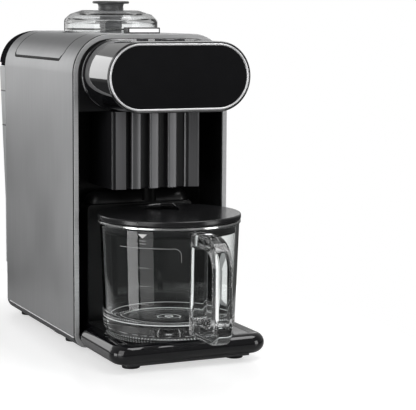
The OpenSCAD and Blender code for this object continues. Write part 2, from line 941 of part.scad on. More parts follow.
module feed_tube() {
    bore = barb_r + 0.1;
    offset_y = abs(pump_out_y - chamber_y) - water_tube_r;
    end = sqrt(pow(collar_r, 2) - pow(offset_y, 2)) + fit;
    color("#dcdcd8") difference() {
        union() {
            rod_z(pump_out_x, pump_out_y, pump_top + fit, feed_z, water_tube_r);
            translate([pump_out_x, pump_out_y, feed_z]) sphere(water_tube_r);
            rod_x(pump_out_y, feed_z, end, pump_out_x, water_tube_r);
        }
        rod_z(pump_out_x, pump_out_y, pump_top, feed_z, bore);
        rod_x(pump_out_y, feed_z, end - 1, pump_out_x, bore);
    }
}

module main_board() {
    color("#1f5a34") translate([board_x, board_y, board_z]) {
        box([-board_w / 2, -board_l / 2, 0], [board_w / 2, board_l / 2, board_t]);
        rod_z(-board_w / 5, -board_l / 3, board_t - 0.1, board_t + filter_h, filter_r);
        rod_z(board_w / 5, -board_l / 3, board_t - 0.1, board_t + cap_h, cap_r);
        translate([-board_w / 6 - relay_w / 2, board_l / 14 - relay_l / 2, board_t - 0.1])
            cube([relay_w, relay_l, relay_h + 0.1]);
        translate([board_w / 3 - sink_w / 2, board_l / 12 - sink_l / 2, board_t - 0.1])
            cube([sink_w, sink_l, sink_h + 0.1]);
    }
}

// Lock block in front of the chamber lid, with a shallow window in its front
module interlock_post() {
    high = body_h + post_h;
    color("#0e0e0f") difference() {
        along_x(-post_w / 2, post_w / 2) {
            translate([post_y, body_h]) square([post_l, post_h - post_r]);
            translate([post_y + post_r, body_h]) square([post_l - 2 * post_r, post_h]);
            translate([post_y + post_r, high - post_r]) circle(post_r);
            translate([post_y + post_l - post_r, high - post_r]) circle(post_r);
        }
        box([post_rim - post_w / 2, post_y - 1, body_h + post_rim],
            [post_w / 2 - post_rim, post_y + post_rim, high - post_rim]);
    }
}

module drive_shaft() {
    color("#b8babd") {
        rod_z(0, chamber_y, shaft_low, blade_z, shaft_r);
        rod_z(0, chamber_y, blade_z - 1, shaft_top, shaft_tip_r);
    }
}

module rotor_core() {
    color("#5c5e63") ring_z(0, chamber_y, stator_low, stator_low + stator_h, shaft_r + 0.02, rotor_r);
}

module cooling_fan() {
    blades = 7;
    color("#26282b") translate([0, chamber_y, fan_low]) difference() {
        union() {
            cylinder(h = fan_h, r = shaft_r + 6);
            cylinder(h = 1.5, r = fan_r);
            for (i = [0 : blades - 1]) rotate(i * 360 / blades)
                box([shaft_r + 4, -0.8, 0.5], [fan_r - 1, 0.8, fan_h - 1]);
        }
        translate([0, 0, -1]) cylinder(h = fan_h + 2, r = shaft_r + 0.02);
    }
}

module grinding_blade() {
    arms = 4;
    tip = 5;
    color("#d2d4d7") translate([0, chamber_y, blade_z]) difference() {
        union() {
            cylinder(h = blade_t, r = shaft_r + 4);
            for (i = [0 : arms - 1]) rotate(i * 360 / arms) linear_extrude(blade_t / 2)
                polygon([[0, -5], [blade_r - tip, -4], [blade_r, 0], [blade_r - tip, 3], [0, 5]]);
        }
        translate([0, 0, -1]) cylinder(h = blade_t + 2, r = shaft_tip_r + 0.02);
    }
}

module blade_nut() {
    low = blade_z + blade_t;
    color("#c6c8cb") difference() {
        union() {
            rod_z(0, chamber_y, low, nut_top - 2, shaft_r + 2);
            rod_z(0, chamber_y, nut_top - 3, nut_top, shaft_r);
        }
        rod_z(0, chamber_y, low - 1, shaft_top + 0.2, shaft_tip_r + 0.02);
    }
}

// Half-section of the chamber lid's outer or inner face
module dome_half(inset) {
    r = dome_r - inset;
    band = body_h + fit + dome_band;
    top = body_h + dome_h - inset;
    knee = 4 - inset / 2;
    polygon([[0, body_h], [r, body_h], [r, band], [r - 0.5, band + knee], [r - 8.5, top - 5.3],
             [r - 18.5, top - 1.5], [knob_neck_r + 4, top], [0, top]]);
}

module lid_dome() {
    rim = 3;
    skirt = cup_in - 2 * fit;
    low = body_h - 9;
    color("#e8eef0", 0.5) difference() {
        translate([0, chamber_y, 0]) {
            rotate_extrude() intersection() {
                difference() {
                    dome_half(0);
                    dome_half(dome_t);
                }
                translate([0, body_h + fit]) square([reach, reach]);
            }
            ring_z(0, 0, body_h + fit, body_h + fit + rim, skirt - dome_t, dome_r - 1);
            ring_z(0, 0, low, body_h + fit + rim, skirt - dome_t, skirt);
        }
        rod_z(0, chamber_y, low, body_h + dome_h + 1, foot_screw_r + fit);
    }
}

module lid_knob() {
    low = body_h + dome_h;
    color("#3a3b3e") difference() {
        union() {
            rod_z(0, chamber_y, low, low + knob_neck_h + 0.1, knob_neck_r);
            rod_z(0, chamber_y, low + knob_neck_h, low + knob_neck_h + knob_t, knob_r);
        }
        rod_z(0, chamber_y, low - 1, low + knob_neck_h - 1, foot_screw_r + 0.1);
    }
}

module lid_seal() {
    skirt = cup_in - 2 * fit;
    color("#d7d7d2") ring_z(0, chamber_y, body_h - 12, body_h - 9, skirt - dome_t, skirt);
}

module knob_screw() {
    low = body_h + dome_h - dome_t;
    color("#3a3b3e") {
        rod_z(0, chamber_y, body_h - 4, low, lid_post_r);
        rod_z(0, chamber_y, low - 0.1, body_h + dome_h + knob_neck_h - 2, foot_screw_r);
    }
}

// Side outline of the part of the tank that stands out behind the housing
module tank_slope(inset) {
    out_low = body_d + tank_out_low - inset;
    out_top = rear_reach - inset;
    polygon([[tank_rear, tank_z], [out_low, tank_z], [out_low, tank_slope_z],
             [out_top, tank_top], [tank_rear, tank_top]]);
}

module water_tank() {
    half = tank_w / 2;
    color("#3a3c40", 0.6) difference() {
        union() {
            box([-half, tank_y, tank_z], [half, tank_rear + 0.1, tank_top]);
            intersection() {
                along_x(-reach, reach) tank_slope(0);
                along_y(body_d, rear_reach) section(0);
            }
            for (s = [0, 1]) mirror([s, 0, 0])
                translate([lid_barrel_w / 2 + 0.6, lid_axis_y, 0]) tank_ear();
        }
        box([tank_t - half, tank_y + tank_t, tank_z + tank_t],
            [half - tank_t, body_d - tank_t, tank_top + 1]);
        intersection() {
            along_x(tank_t - half, half - tank_t) union() {
                tank_slope(2 * tank_t);
                translate([body_d - tank_t - 1, tank_cut_z]) square([tank_cut_d, tank_top - tank_slope_z]);
            }
            slice(tank_cut_z, tank_top + 1);
        }
        box([1 - lid_barrel_w / 2 - 1.3, lid_axis_y - lid_barrel_r - 0.5, tank_top - 1],
            [lid_barrel_w / 2 + 0.3, rear_reach + 1, tank_top + 1]);
        rod_y(outlet_x, outlet_z, tank_y - 1, tank_y + tank_t + 1, outlet_r + 0.1);
    }
}

// Ear with the bore for one hinge pin of the tank lid
module tank_ear() {
    difference() {
        union() {
            along_x(0, ear_w) translate([0, lid_axis_z]) circle(ear_r);
            box([0, -ear_r, tank_top - 1], [ear_w, ear_r - 1, lid_axis_z]);
        }
        along_x(-1, ear_w + 1) translate([0, lid_axis_z]) circle(lid_pin_r + running);
    }
}

module tank_outlet() {
    color("#46484c") difference() {
        union() {
            rod_y(outlet_x, outlet_z, bay_y - 7, tank_y + tank_t, outlet_r);
            rod_y(outlet_x, outlet_z, tank_y + tank_t, tank_y + tank_t + 3, outlet_r + 3);
        }
        rod_y(outlet_x, outlet_z, bay_y - 8, tank_y + tank_t + 4, outlet_r - 3);
    }
}

// Side outline of the tank lid, drawn in by inset
module tank_lid_outline(inset) {
    y0 = tank_lid_y + inset;
    y1 = rear_reach - inset;
    top = body_h - inset;
    r = tank_lid_r - inset;
    translate([y0, 0]) square([y1 - y0 - r, top]);
    translate([y1 - r - 0.1, 0]) square([r + 0.1, top - r]);
    translate([y1 - r, top - r]) circle(r);
}

module tank_lid() {
    wall = 2.5;
    color("#0f0f11") union() {
        difference() {
            intersection() {
                along_y(tank_lid_y, rear_reach) section(0);
                along_x(-reach, reach) tank_lid_outline(0);
                slice(tank_lid_z, body_h + 1);
            }
            intersection() {
                along_y(tank_lid_y + wall, rear_reach - wall) section(wall);
                along_x(-reach, reach) tank_lid_outline(wall);
            }
            along_x(-reach, reach) translate([lid_axis_y, lid_axis_z]) circle(ear_r + 0.6);
        }
        along_x(-lid_barrel_w / 2, lid_barrel_w / 2) {
            translate([lid_axis_y, lid_axis_z]) circle(lid_barrel_r);
            translate([lid_axis_y, lid_axis_z]) square([lid_barrel_r, 6]);
        }
        along_x(-lid_barrel_w / 2 - lid_pin_l + 0.4, lid_barrel_w / 2 + lid_pin_l - 0.4)
            translate([lid_axis_y, lid_axis_z]) circle(lid_pin_r);
    }
}

// Half-section of the jug's outer face, or of its inside
module jug_half(inset) {
    foot = jug_foot_r - inset;
    rim = jug_top_r - inset;
    bend = jug_bend - inset / 2;
    low = jug_z + (inset > 0 ? jug_floor : 0);
    polygon([[0, low + bend], [foot, low + bend], [rim, jug_rim], [0, jug_rim]]);
    translate([0, low]) square([foot - bend, bend + 1]);
    translate([foot - bend, low + bend]) intersection() {
        circle(bend);
        translate([-bend, -bend]) square([2 * bend, bend + 0.2]);
    }
}

module jug_glass() {
    color("#dfe8ea", 0.4) translate([0, -jug_y, 0]) rotate_extrude() intersection() {
        difference() {
            union() {
                jug_half(0);
                translate([jug_top_r - 2, jug_rim - jug_lip_h]) square([2 + jug_lip, jug_lip_h]);
            }
            jug_half(jug_wall);
        }
        square([reach, jug_rim]);
    }
}

// Outline with four equal corner radii, from its lower to its upper corner
module round_rect(low, high, r) {
    size = high - low;
    translate([low[0], low[1] + r]) square([size[0], size[1] - 2 * r]);
    translate([low[0] + r, low[1]]) square([size[0] - 2 * r, size[1]]);
    for (x = [low[0] + r, high[0] - r], y = [low[1] + r, high[1] - r]) translate([x, y]) circle(r);
}

module jug_handle() {
    low = jug_z + handle_low;
    high = low + handle_h;
    outer = -front_reach;
    corner = 20;
    gap_r = 8;
    gap_y = -jug_y - jug_top_r - 5.5;
    handle_base = 17;
    handle_bridge = 13.5;
    color("#dfe8ea", 0.4) difference() {
        along_x(-handle_w / 2, handle_w / 2) difference() {
            union() {
                round_rect([outer, low], [-jug_y, high], corner);
                translate([-jug_y - 2 * corner, low]) square([2 * corner, handle_h]);
            }
            round_rect([outer + handle_grip, low + handle_base], [gap_y, high - handle_bridge], gap_r);
        }
        translate([0, -jug_y, 0]) rotate_extrude() {
            translate([0, jug_z - 1]) square([jug_foot_r + fit, jug_bend + 1.1]);
            polygon([[0, jug_z + jug_bend], [jug_foot_r + fit, jug_z + jug_bend],
                     [jug_top_r + fit, jug_rim], [0, jug_rim]]);
            translate([0, jug_rim - jug_lip_h - fit])
                square([jug_top_r + jug_lip + fit, jug_lip_h + 2 * fit]);
        }
    }
}

module jug_lid() {
    disc = jug_rim + fit;
    plug = jug_top_r - jug_wall - 1;
    inlet_r = nozzle_r + 2;
    color("#151517") translate([0, -jug_y, 0]) difference() {
        union() {
            rod_z(0, 0, disc, jug_lid_top, jug_lid_r);
            ring_z(0, 0, disc - 10, disc + 0.1, plug - 3, plug);
            translate([0, jug_boss_y, jug_lid_top]) jug_grip();
        }
        box([-inlet_r, jug_y + nozzle_y - inlet_r, disc - 1],
            [inlet_r, jug_y + nozzle_y + inlet_r, jug_lid_top + 1]);
    }
}

// Low domed grip, open to the front on its right half
module jug_grip() {
    in_r = jug_boss_r - grip_wall;
    rotate([0, 0, grip_turn]) difference() {
        intersection() {
            rod_z(0, 0, -0.1, jug_boss_h, jug_boss_r);
            translate([0, 0, jug_boss_h - grip_dome_r]) sphere(grip_dome_r);
        }
        intersection() {
            rod_z(0, 0, 0, jug_boss_h + 1, in_r);
            box([-grip_wall, -in_r, 0], [in_r, in_r, jug_boss_h + 1]);
        }
        box([-grip_wall, -jug_boss_r, 0], [in_r - 1, -jug_boss_r / 3, jug_boss_h + 1]);
    }
}

module jug_lid_seal() {
    disc = jug_rim + fit;
    plug = jug_top_r - jug_wall - 1;
    color("#1a1a1b") ring_z(0, -jug_y, disc - 12, disc - 10, plug - 3, plug);
}

// Slab with a half-round edge all round
module bullnose(w, y0, y1, z0, z1, r_front, r_rear) {
    r = (z1 - z0) / 2;
    mid = (z0 + z1) / 2;
    for (s = [0, 1]) mirror([s, 0, 0]) {
        box([0, y0 + r_front, z0], [w / 2 - r_front, y1 - r_rear, z1]);
        box([0, y0 + r, z0], [w / 2 - r_front, y0 + r_front, z1]);
        box([0, y1 - r_rear - 0.1, z0], [w / 2 - r_rear, y1 - r, z1]);
        box([w / 2 - r_front - 0.1, y0 + r_front, z0], [w / 2 - r, y1 - r_rear, z1]);
        rod_y(w / 2 - r, mid, y0 + r_front, y1 - r_rear, r);
        along_x(0, w / 2 - r_front) translate([y0 + r, mid]) circle(r);
        along_x(0, w / 2 - r_rear) translate([y1 - r, mid]) circle(r);
        translate([w / 2 - r_front, y0 + r_front, mid]) bullnose_corner(r_front, r);
        translate([w / 2 - r_rear, y1 - r_rear, mid]) bullnose_corner(r_rear, r);
    }
}

// Round corner of the slab
module bullnose_corner(plan_r, r) {
    rotate_extrude() {
        translate([0, -r]) square([plan_r - r, 2 * r]);
        intersection() {
            translate([plan_r - r, 0]) circle(r);
            translate([0, -r]) square([plan_r, 2 * r]);
        }
    }
}

module drip_tray() {
    basin = [tray_rear_w / 2 - 5, -tray_reach + 16, tray_z + 4];
    rebate = 3;
    rear = tray_rear_y;
    color("#0b0b0d") difference() {
        union() {
            bullnose(tray_w, -tray_reach, -1.5, tray_z, tray_top, tray_front_r, tray_rear_r);
            box([-tray_rear_w / 2, -20, tray_z + tray_rear_lift], [tray_rear_w / 2, rear, tray_top]);
        }
        box([-basin[0], basin[1], basin[2]], [basin[0], rear - 5, tray_top + 1]);
        box([-basin[0] - rebate, basin[1] - rebate, tray_top - drip_plate_t],
            [basin[0] + rebate, rear - 5 + rebate, tray_top + 1]);
    }
}

module drip_plate() {
    half = tray_rear_w / 2 - 2 - fit;
    front = -tray_reach + 13 + fit;
    slots = 7;
    slot_pitch = 12;
    slot_l = 60;
    slot_w = 4;
    color("#0d0d0f") difference() {
        box([-half, front, tray_top - drip_plate_t], [half, tray_rear_y - 2 - fit, tray_top]);
        for (i = [0 : slots - 1]) {
            translate([0, -jug_y + (i - (slots - 1) / 2) * slot_pitch, 0])
                box([-slot_l / 2, -slot_w / 2, tray_z], [slot_l / 2, slot_w / 2, tray_top + 1]);
        }
    }
}

module start_key() {
    color("#2a2b2e") {
        rod_z(0, start_key_y, key_foot_z, head_top + key_proud, start_key_r);
        rod_z(0, start_key_y, key_foot_z, key_foot_z + key_lip_t, start_key_r + key_lip);
        rod_z(0, start_key_y, key_foot_z - stem_h, key_foot_z + 0.1, stem_r);
    }
}

// One menu key at the given place in the row
module menu_key(i) {
    color("#2a2b2e") translate([menu_keys[i] * key_pitch, menu_key_y, key_foot_z]) {
        key_block(key_w, key_l, head_top + key_proud - key_foot_z);
        key_block(key_w + 2 * key_lip, key_l + 2 * key_lip, key_lip_t);
        translate([0, 0, -stem_h]) cylinder(h = stem_h + 0.1, r = stem_r);
    }
}

// Moves a piece from the trim's frame to the part's own frame
module place() {
    translate([0, trim_y, 0]) children();
}

place() side_shell();
place() top_cover();
place() front_trim();
place() recess_liner();
place() recess_panel();
place() base_pan();
place() rubber_feet();
place() foot_screws();
place() tank_bay();
place() rear_cover();
place() power_inlet();
place() motor_deck();
place() head_shell();
place() head_ring();
place() front_plate();
place() control_panel();
place() control_board();
place() key_switches();
place() spout_cover();
place() spout_nozzle();
place() outlet_valve();
place() valve_solenoid();
place() milk_tube();
place() chamber_base();
place() chamber_cup();
place() chamber_collar();
place() band_heater();
place() shaft_seal();
place() motor_housing();
place() motor_stator();
place() motor_bearings();
place() motor_screws();
place() water_pump();
place() suction_tube();
place() feed_tube();
place() tank_socket();
place() main_board();
place() interlock_post();
place() drive_shaft();
place() rotor_core();
place() cooling_fan();
place() grinding_blade();
place() blade_nut();
place() lid_dome();
place() lid_knob();
place() lid_seal();
place() knob_screw();
place() water_tank();
place() tank_outlet();
place() tank_lid();
place() jug_glass();
place() jug_handle();
place() jug_lid();
place() jug_lid_seal();
place() drip_tray();
place() drip_plate();
place() start_key();
place() menu_key(0);  // menu_key_1
place() menu_key(1);  // menu_key_2
place() menu_key(2);  // menu_key_3
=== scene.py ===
"""Looks of a countertop soy milk maker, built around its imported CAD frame."""

import json
import math

import bmesh
import bpy
from mathutils import Matrix, Vector


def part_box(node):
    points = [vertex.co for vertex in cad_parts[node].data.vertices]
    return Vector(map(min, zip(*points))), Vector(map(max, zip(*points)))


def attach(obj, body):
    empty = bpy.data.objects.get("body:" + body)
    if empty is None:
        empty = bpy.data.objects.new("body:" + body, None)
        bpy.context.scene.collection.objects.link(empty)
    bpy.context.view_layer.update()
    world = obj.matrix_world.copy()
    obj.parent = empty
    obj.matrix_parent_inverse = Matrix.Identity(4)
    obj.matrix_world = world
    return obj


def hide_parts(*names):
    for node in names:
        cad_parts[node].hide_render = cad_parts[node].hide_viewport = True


MM = 0.001

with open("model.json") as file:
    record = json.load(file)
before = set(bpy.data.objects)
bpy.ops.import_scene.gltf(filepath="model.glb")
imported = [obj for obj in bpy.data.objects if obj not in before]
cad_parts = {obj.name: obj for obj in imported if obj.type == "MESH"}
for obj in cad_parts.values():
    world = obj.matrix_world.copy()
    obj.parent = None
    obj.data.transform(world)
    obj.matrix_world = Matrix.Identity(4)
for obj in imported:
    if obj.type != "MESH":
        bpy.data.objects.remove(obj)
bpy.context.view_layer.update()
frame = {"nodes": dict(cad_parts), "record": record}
nodes = frame["nodes"]
scene = bpy.context.scene
scene.view_settings.view_transform = "Standard"


# Camera at the photograph's viewing angle

AZIMUTH, ELEVATION, ROLL = -24.99, 7.407, 0.3955
PHOTO_W = 416
FOCAL_PX = 1484.0
CAMERA_POS = (-0.5885, -1.4354, 0.3453)


def make_camera():
    a, e, r = (math.radians(v) for v in (AZIMUTH, ELEVATION, ROLL))
    right = Vector((math.cos(a), math.sin(a), 0))
    ahead = Vector((-math.sin(a) * math.cos(e), math.cos(a) * math.cos(e), -math.sin(e)))
    up = right.cross(ahead)
    x = right * math.cos(r) + up * math.sin(r)
    y = -right * math.sin(r) + up * math.cos(r)
    turn = Matrix((x, y, -ahead)).transposed().to_4x4()
    data = bpy.data.cameras.new("camera")
    data.sensor_width = 36.0
    data.lens = FOCAL_PX / PHOTO_W * data.sensor_width
    data.clip_start, data.clip_end = 0.05, 30.0
    cam = bpy.data.objects.new("camera", data)
    scene.collection.objects.link(cam)
    cam.matrix_world = Matrix.Translation(CAMERA_POS) @ turn
    scene.camera = cam


make_camera()


# Material helpers


def new_material(name):
    mat = bpy.data.materials.new(name)
    mat.use_nodes = True
    tree = mat.node_tree
    tree.nodes.clear()
    out = tree.nodes.new("ShaderNodeOutputMaterial")
    return mat, tree, out


def principled(name, color, rough, metallic=0.0, **extra):
    mat, tree, out = new_material(name)
    bsdf = tree.nodes.new("ShaderNodeBsdfPrincipled")
    bsdf.inputs["Base Color"].default_value = (*color, 1.0)
    bsdf.inputs["Roughness"].default_value = rough
    bsdf.inputs["Metallic"].default_value = metallic
    for key, value in extra.items():
        bsdf.inputs[key.replace("_", " ")].default_value = value
    tree.links.new(bsdf.outputs[0], out.inputs["Surface"])
    return mat, tree, bsdf


def noise(tree, scale, detail, stretch=(1, 1, 1)):
    coord = tree.nodes.new("ShaderNodeTexCoord")
    mapping = tree.nodes.new("ShaderNodeMapping")
    mapping.inputs["Scale"].default_value = [scale * s for s in stretch]
    tex = tree.nodes.new("ShaderNodeTexNoise")
    tex.inputs["Scale"].default_value = 1.0
    tex.inputs["Detail"].default_value = detail
    tree.links.new(coord.outputs["Object"], mapping.inputs["Vector"])
    tree.links.new(mapping.outputs[0], tex.inputs["Vector"])
    return tex.outputs["Fac"]


def spread(tree, fac, low, high, start=0.3, end=0.7):
    node = tree.nodes.new("ShaderNodeMapRange")
    node.inputs["From Min"].default_value = start
    node.inputs["From Max"].default_value = end
    node.inputs["To Min"].default_value = low
    node.inputs["To Max"].default_value = high
    tree.links.new(fac, node.inputs["Value"])
    return node.outputs[0]


def tint(tree, fac, dark, light, start=0.3, end=0.7):
    ramp = tree.nodes.new("ShaderNodeValToRGB")
    ramp.color_ramp.elements[0].position = start
    ramp.color_ramp.elements[1].position = end
    ramp.color_ramp.elements[0].color = (*dark, 1.0)
    ramp.color_ramp.elements[1].color = (*light, 1.0)
    tree.links.new(fac, ramp.inputs["Fac"])
    return ramp.outputs["Color"]


def bump(tree, bsdf, fac, strength, distance):
    node = tree.nodes.new("ShaderNodeBump")
    node.inputs["Strength"].default_value = strength
    node.inputs["Distance"].default_value = distance
    tree.links.new(fac, node.inputs["Height"])
    tree.links.new(node.outputs[0], bsdf.inputs["Normal"])


def maths(tree, operation, second=None, third=None):
    """A math node whose later inputs can be fixed values."""
    node = tree.nodes.new("ShaderNodeMath")
    node.operation = operation
    for k, value in ((1, second), (2, third)):
        if value is not None:
            node.inputs[k].default_value = value
    return node


def near_level(tree, axis, levels, half):
    """Outputs that are 1 where a coordinate is within half of a level, in millimetres."""
    coord = tree.nodes.new("ShaderNodeTexCoord")
    axes = tree.nodes.new("ShaderNodeSeparateXYZ")
    tree.links.new(coord.outputs["Object"], axes.inputs[0])
    found = []
    for level in levels:
        near = maths(tree, "COMPARE", level * MM, half * MM)
        tree.links.new(axes.outputs[axis], near.inputs[0])
        found.append(near.outputs[0])
    return found


GRAIN_SCALE = 1400.0
MOTTLE = 0.12


def moulded(name, color, rough, depth=0.08, **extra):
    """Moulded plastic with a fine grain and a little variation."""
    mat, tree, bsdf = principled(name, color, rough, **extra)
    fine = noise(tree, GRAIN_SCALE, 2.0)
    broad = noise(tree, 28.0, 4.0)
    low = [c * (1 - MOTTLE) for c in color]
    high = [c * (1 + MOTTLE) for c in color]
    tree.links.new(tint(tree, broad, low, high), bsdf.inputs["Base Color"])
    tree.links.new(spread(tree, broad, rough * 0.92, rough * 1.08), bsdf.inputs["Roughness"])
    bump(tree, bsdf, fine, depth, 0.0004)
    return mat


def glossy(name, color, rough, **extra):
    """Polished plastic with faint haze and waviness."""
    mat, tree, bsdf = principled(name, color, rough, **extra)
    haze = noise(tree, 60.0, 6.0)
    wave = noise(tree, 22.0, 1.0)
    tree.links.new(spread(tree, haze, rough * 0.8, rough * 1.25), bsdf.inputs["Roughness"])
    low = [c * 0.9 for c in color]
    high = [c * 1.1 for c in color]
    tree.links.new(tint(tree, haze, low, high), bsdf.inputs["Base Color"])
    bump(tree, bsdf, wave, 0.04, 0.001)
    return mat


def brushed(name, color, rough, stretch, depth=0.12, metallic=1.0, swing=0.06, **extra):
    """Metal with fine lines along one direction."""
    mat, tree, bsdf = principled(name, color, rough, metallic, **extra)
    if "Anisotropic" in extra:
        wrap = tree.nodes.new("ShaderNodeTangent")
        wrap.direction_type = "RADIAL"
        wrap.axis = "Y"
        tree.links.new(wrap.outputs[0], bsdf.inputs["Tangent"])
    lines = noise(tree, 1.0, 4.0, stretch)
    broad = noise(tree, 9.0, 3.0)
    low = [c * (1 - swing) for c in color]
    high = [c * (1 + swing) for c in color]
    tree.links.new(tint(tree, lines, low, high), bsdf.inputs["Base Color"])
    tree.links.new(spread(tree, broad, rough * 0.93, rough * 1.07), bsdf.inputs["Roughness"])
    bump(tree, bsdf, lines, depth, 0.0002)
    return mat


def clear(name, color, rough, ior):
    """Clear glass or plastic with faint unevenness."""
    mat, tree, bsdf = principled(name, color, rough, Transmission_Weight=1.0, IOR=ior)
    wave = noise(tree, 18.0, 1.0)
    bump(tree, bsdf, wave, 0.06, 0.001)
    through = tree.nodes.new("ShaderNodeBsdfTransparent")
    through.inputs["Color"].default_value = (*[0.9 * c for c in color], 1.0)
    path = tree.nodes.new("ShaderNodeLightPath")
    mix = tree.nodes.new("ShaderNodeMixShader")
    tree.links.new(path.outputs["Is Shadow Ray"], mix.inputs["Fac"])
    tree.links.new(bsdf.outputs[0], mix.inputs[1])
    tree.links.new(through.outputs[0], mix.inputs[2])
    tree.links.new(mix.outputs[0], tree.nodes["Material Output"].inputs["Surface"])
    return mat


# A material for each slot of the record

mats = {
    "satin_metal": brushed("satin_metal", (0.41, 0.412, 0.417), 0.45, (14, 1500, 14),
                           Anisotropic=0.85, Anisotropic_Rotation=0.25),
    "recess_black": moulded("recess_black", (0.022, 0.022, 0.023), 0.14, depth=0.03),
    "pan_grey": moulded("pan_grey", (0.05, 0.05, 0.053), 0.42),
    "gloss_black": glossy("gloss_black", (0.008, 0.008, 0.009), 0.05,
                          Coat_Weight=1.0, Coat_IOR=1.6),
    "bright_ring": brushed("bright_ring", (0.92, 0.92, 0.93), 0.38, (60, 60, 60), 0.02, 0.55, 0.02),
    "ribbed_black": moulded("ribbed_black", (0.008, 0.008, 0.009), 0.4, Specular_IOR_Level=0.25),
    "lid_black": moulded("lid_black", (0.015, 0.015, 0.016), 0.22),
    "key_grey": moulded("key_grey", (0.05, 0.05, 0.055), 0.4),
    "clear_glass": clear("clear_glass", (0.97, 0.985, 0.98), 0.0, 1.47),
    "clear_plastic": clear("clear_plastic", (0.97, 0.98, 0.98), 0.01, 1.49),
    "smoked_plastic": clear("smoked_plastic", (0.32, 0.33, 0.34), 0.04, 1.49),
    "knob_grey": moulded("knob_grey", (0.085, 0.085, 0.09), 0.34),
    "foot_rubber": moulded("foot_rubber", (0.015, 0.015, 0.015), 0.75),
    "seal_rubber": moulded("seal_rubber", (0.55, 0.55, 0.52), 0.6),
    "steel": brushed("steel", (0.62, 0.63, 0.64), 0.24, (900, 900, 60), 0.06),
    "inner_plastic": moulded("inner_plastic", (0.06, 0.06, 0.065), 0.5),
    "inner_metal": brushed("inner_metal", (0.45, 0.45, 0.46), 0.45, (400, 400, 400)),
    "board_green": moulded("board_green", (0.02, 0.12, 0.05), 0.4),
}

for part in frame["record"]["subparts"]:
    data = nodes[part["node"]].data
    data.materials.clear()
    data.materials.append(mats[part["material_slot"]])


# Materials of single pieces

# Depth and half width, in millimetres, of the painted shade band on the trim's edge.
TRIM_SHADE_Y, TRIM_SHADE_HALF = -34.55, 1.2
TANK_LINES_Z, TANK_LINE_HALF = (255, 216), 0.7


def trim_satin_gap_shade():
    """Satin trim with painted shade: a dark band on its edge behind the front face stands for the
    shadow gap there.
    """
    mat = brushed("trim_satin_gap_shade", (0.56, 0.562, 0.567), 0.5, (14, 14, 1200), metallic=0.5)
    tree = mat.node_tree
    base = next(n for n in tree.nodes if n.type == "BSDF_PRINCIPLED").inputs["Base Color"]
    # Painted shade: the trim's colour turns nearly black within the band round this depth.
    near, = near_level(tree, "Y", (TRIM_SHADE_Y,), TRIM_SHADE_HALF)
    shade = tree.nodes.new("ShaderNodeMixRGB")
    shade.inputs["Color2"].default_value = (0.012, 0.012, 0.012, 1.0)
    tree.links.new(near, shade.inputs["Fac"])
    tree.links.new(base.links[0].from_socket, shade.inputs["Color1"])
    tree.links.new(shade.outputs[0], base)
    return mat


def tank_frost():
    """Pale see-through plastic with two printed level lines round it."""
    pale, line = (0.5, 0.51, 0.515), (0.03, 0.03, 0.03)
    mat, tree, bsdf = principled("tank_frost", pale, 0.32, Transmission_Weight=0.35, IOR=1.49)
    both = maths(tree, "ADD")
    for socket, near in zip(both.inputs, near_level(tree, "Z", TANK_LINES_Z, TANK_LINE_HALF)):
        tree.links.new(near, socket)
    tree.links.new(tint(tree, both.outputs[0], pale, line, 0.4, 0.6), bsdf.inputs["Base Color"])
    cloud = noise(tree, 40.0, 3.0)
    tree.links.new(spread(tree, cloud, 0.28, 0.36), bsdf.inputs["Roughness"])
    bump(tree, bsdf, cloud, 0.04, 0.0005)
    return mat


PLATE_BLACK = glossy("plate_black", (0.006, 0.006, 0.007), 0.05)
TRAY_BLACK = glossy("tray_black", (0.004, 0.004, 0.005), 0.05, Specular_IOR_Level=0.45,
                    Coat_Weight=0.15)
PANEL_BLACK = moulded("panel_black", (0.009, 0.009, 0.0095), 0.3, Specular_IOR_Level=0.35)
HOOD_BLACK = moulded("hood_black", (0.015, 0.015, 0.016), 0.2, depth=0.03, Specular_IOR_Level=1.0,
                     Coat_Weight=1.0, Coat_IOR=1.7, Coat_Roughness=0.15)
DARK_PLASTIC = moulded("dark_plastic", (0.003, 0.003, 0.003), 0.45, Specular_IOR_Level=0.05)
LID_SATIN = moulded("lid_satin", (0.012, 0.012, 0.013), 0.5, Specular_IOR_Level=0.0)
TRIM_SATIN_GAP_SHADE = trim_satin_gap_shade()
LINER_BLACK = moulded("liner_black", (0.009, 0.009, 0.0095), 0.2, depth=0.03,
                      Specular_IOR_Level=0.35)
# Dark rubber for the lid seal; the same dark colour makes the painted-shade strips in the cover
# seam and beside the trim.
RUBBER_AND_GAP_SHADE = moulded("rubber_and_gap_shade", (0.015, 0.015, 0.015), 0.6, Specular_IOR_Level=0.1)
STEM_GREY = glossy("stem_grey", (0.16, 0.16, 0.165), 0.25)
MARK_WHITE = moulded("mark_white", (0.82, 0.82, 0.82), 0.45)
MARK_GREY = moulded("mark_grey", (0.3, 0.3, 0.3), 0.45)
# Frosted white that glows a little: painted glints, on the foot's stipple and on the jug's floor.
GLINT_GLOW_FROST = moulded("glint_glow_frost", (0.78, 0.8, 0.8), 0.2, depth=0.03, Emission_Strength=0.28,
                    Emission_Color=(1, 1, 1, 1))
# Whitish metal band along the jug's lip: painted highlight of the glass rim.
RIM_PAINTED_HIGHLIGHT = brushed("rim_painted_highlight", (0.9, 0.91, 0.91), 0.16, (200, 200, 20), 0.02, 0.85, 0.03)
# Pale metal along the shell's foot: painted highlight of its lower edge.
HEM_PAINTED_HIGHLIGHT = brushed("hem_painted_highlight", (0.85, 0.85, 0.86), 0.4, (20, 900, 20), 0.05, 0.4)
# Pale window that glows though it is no lamp: painted light.
WINDOW_PALE_GLOW = glossy("window_pale_glow", (0.85, 0.85, 0.85), 0.12, Emission_Strength=0.55,
                     Emission_Color=(1, 1, 1, 1))
RIB_SATIN = brushed("rib_satin", (0.16, 0.16, 0.165), 0.42, (900, 900, 10), 0.06, 0.6)


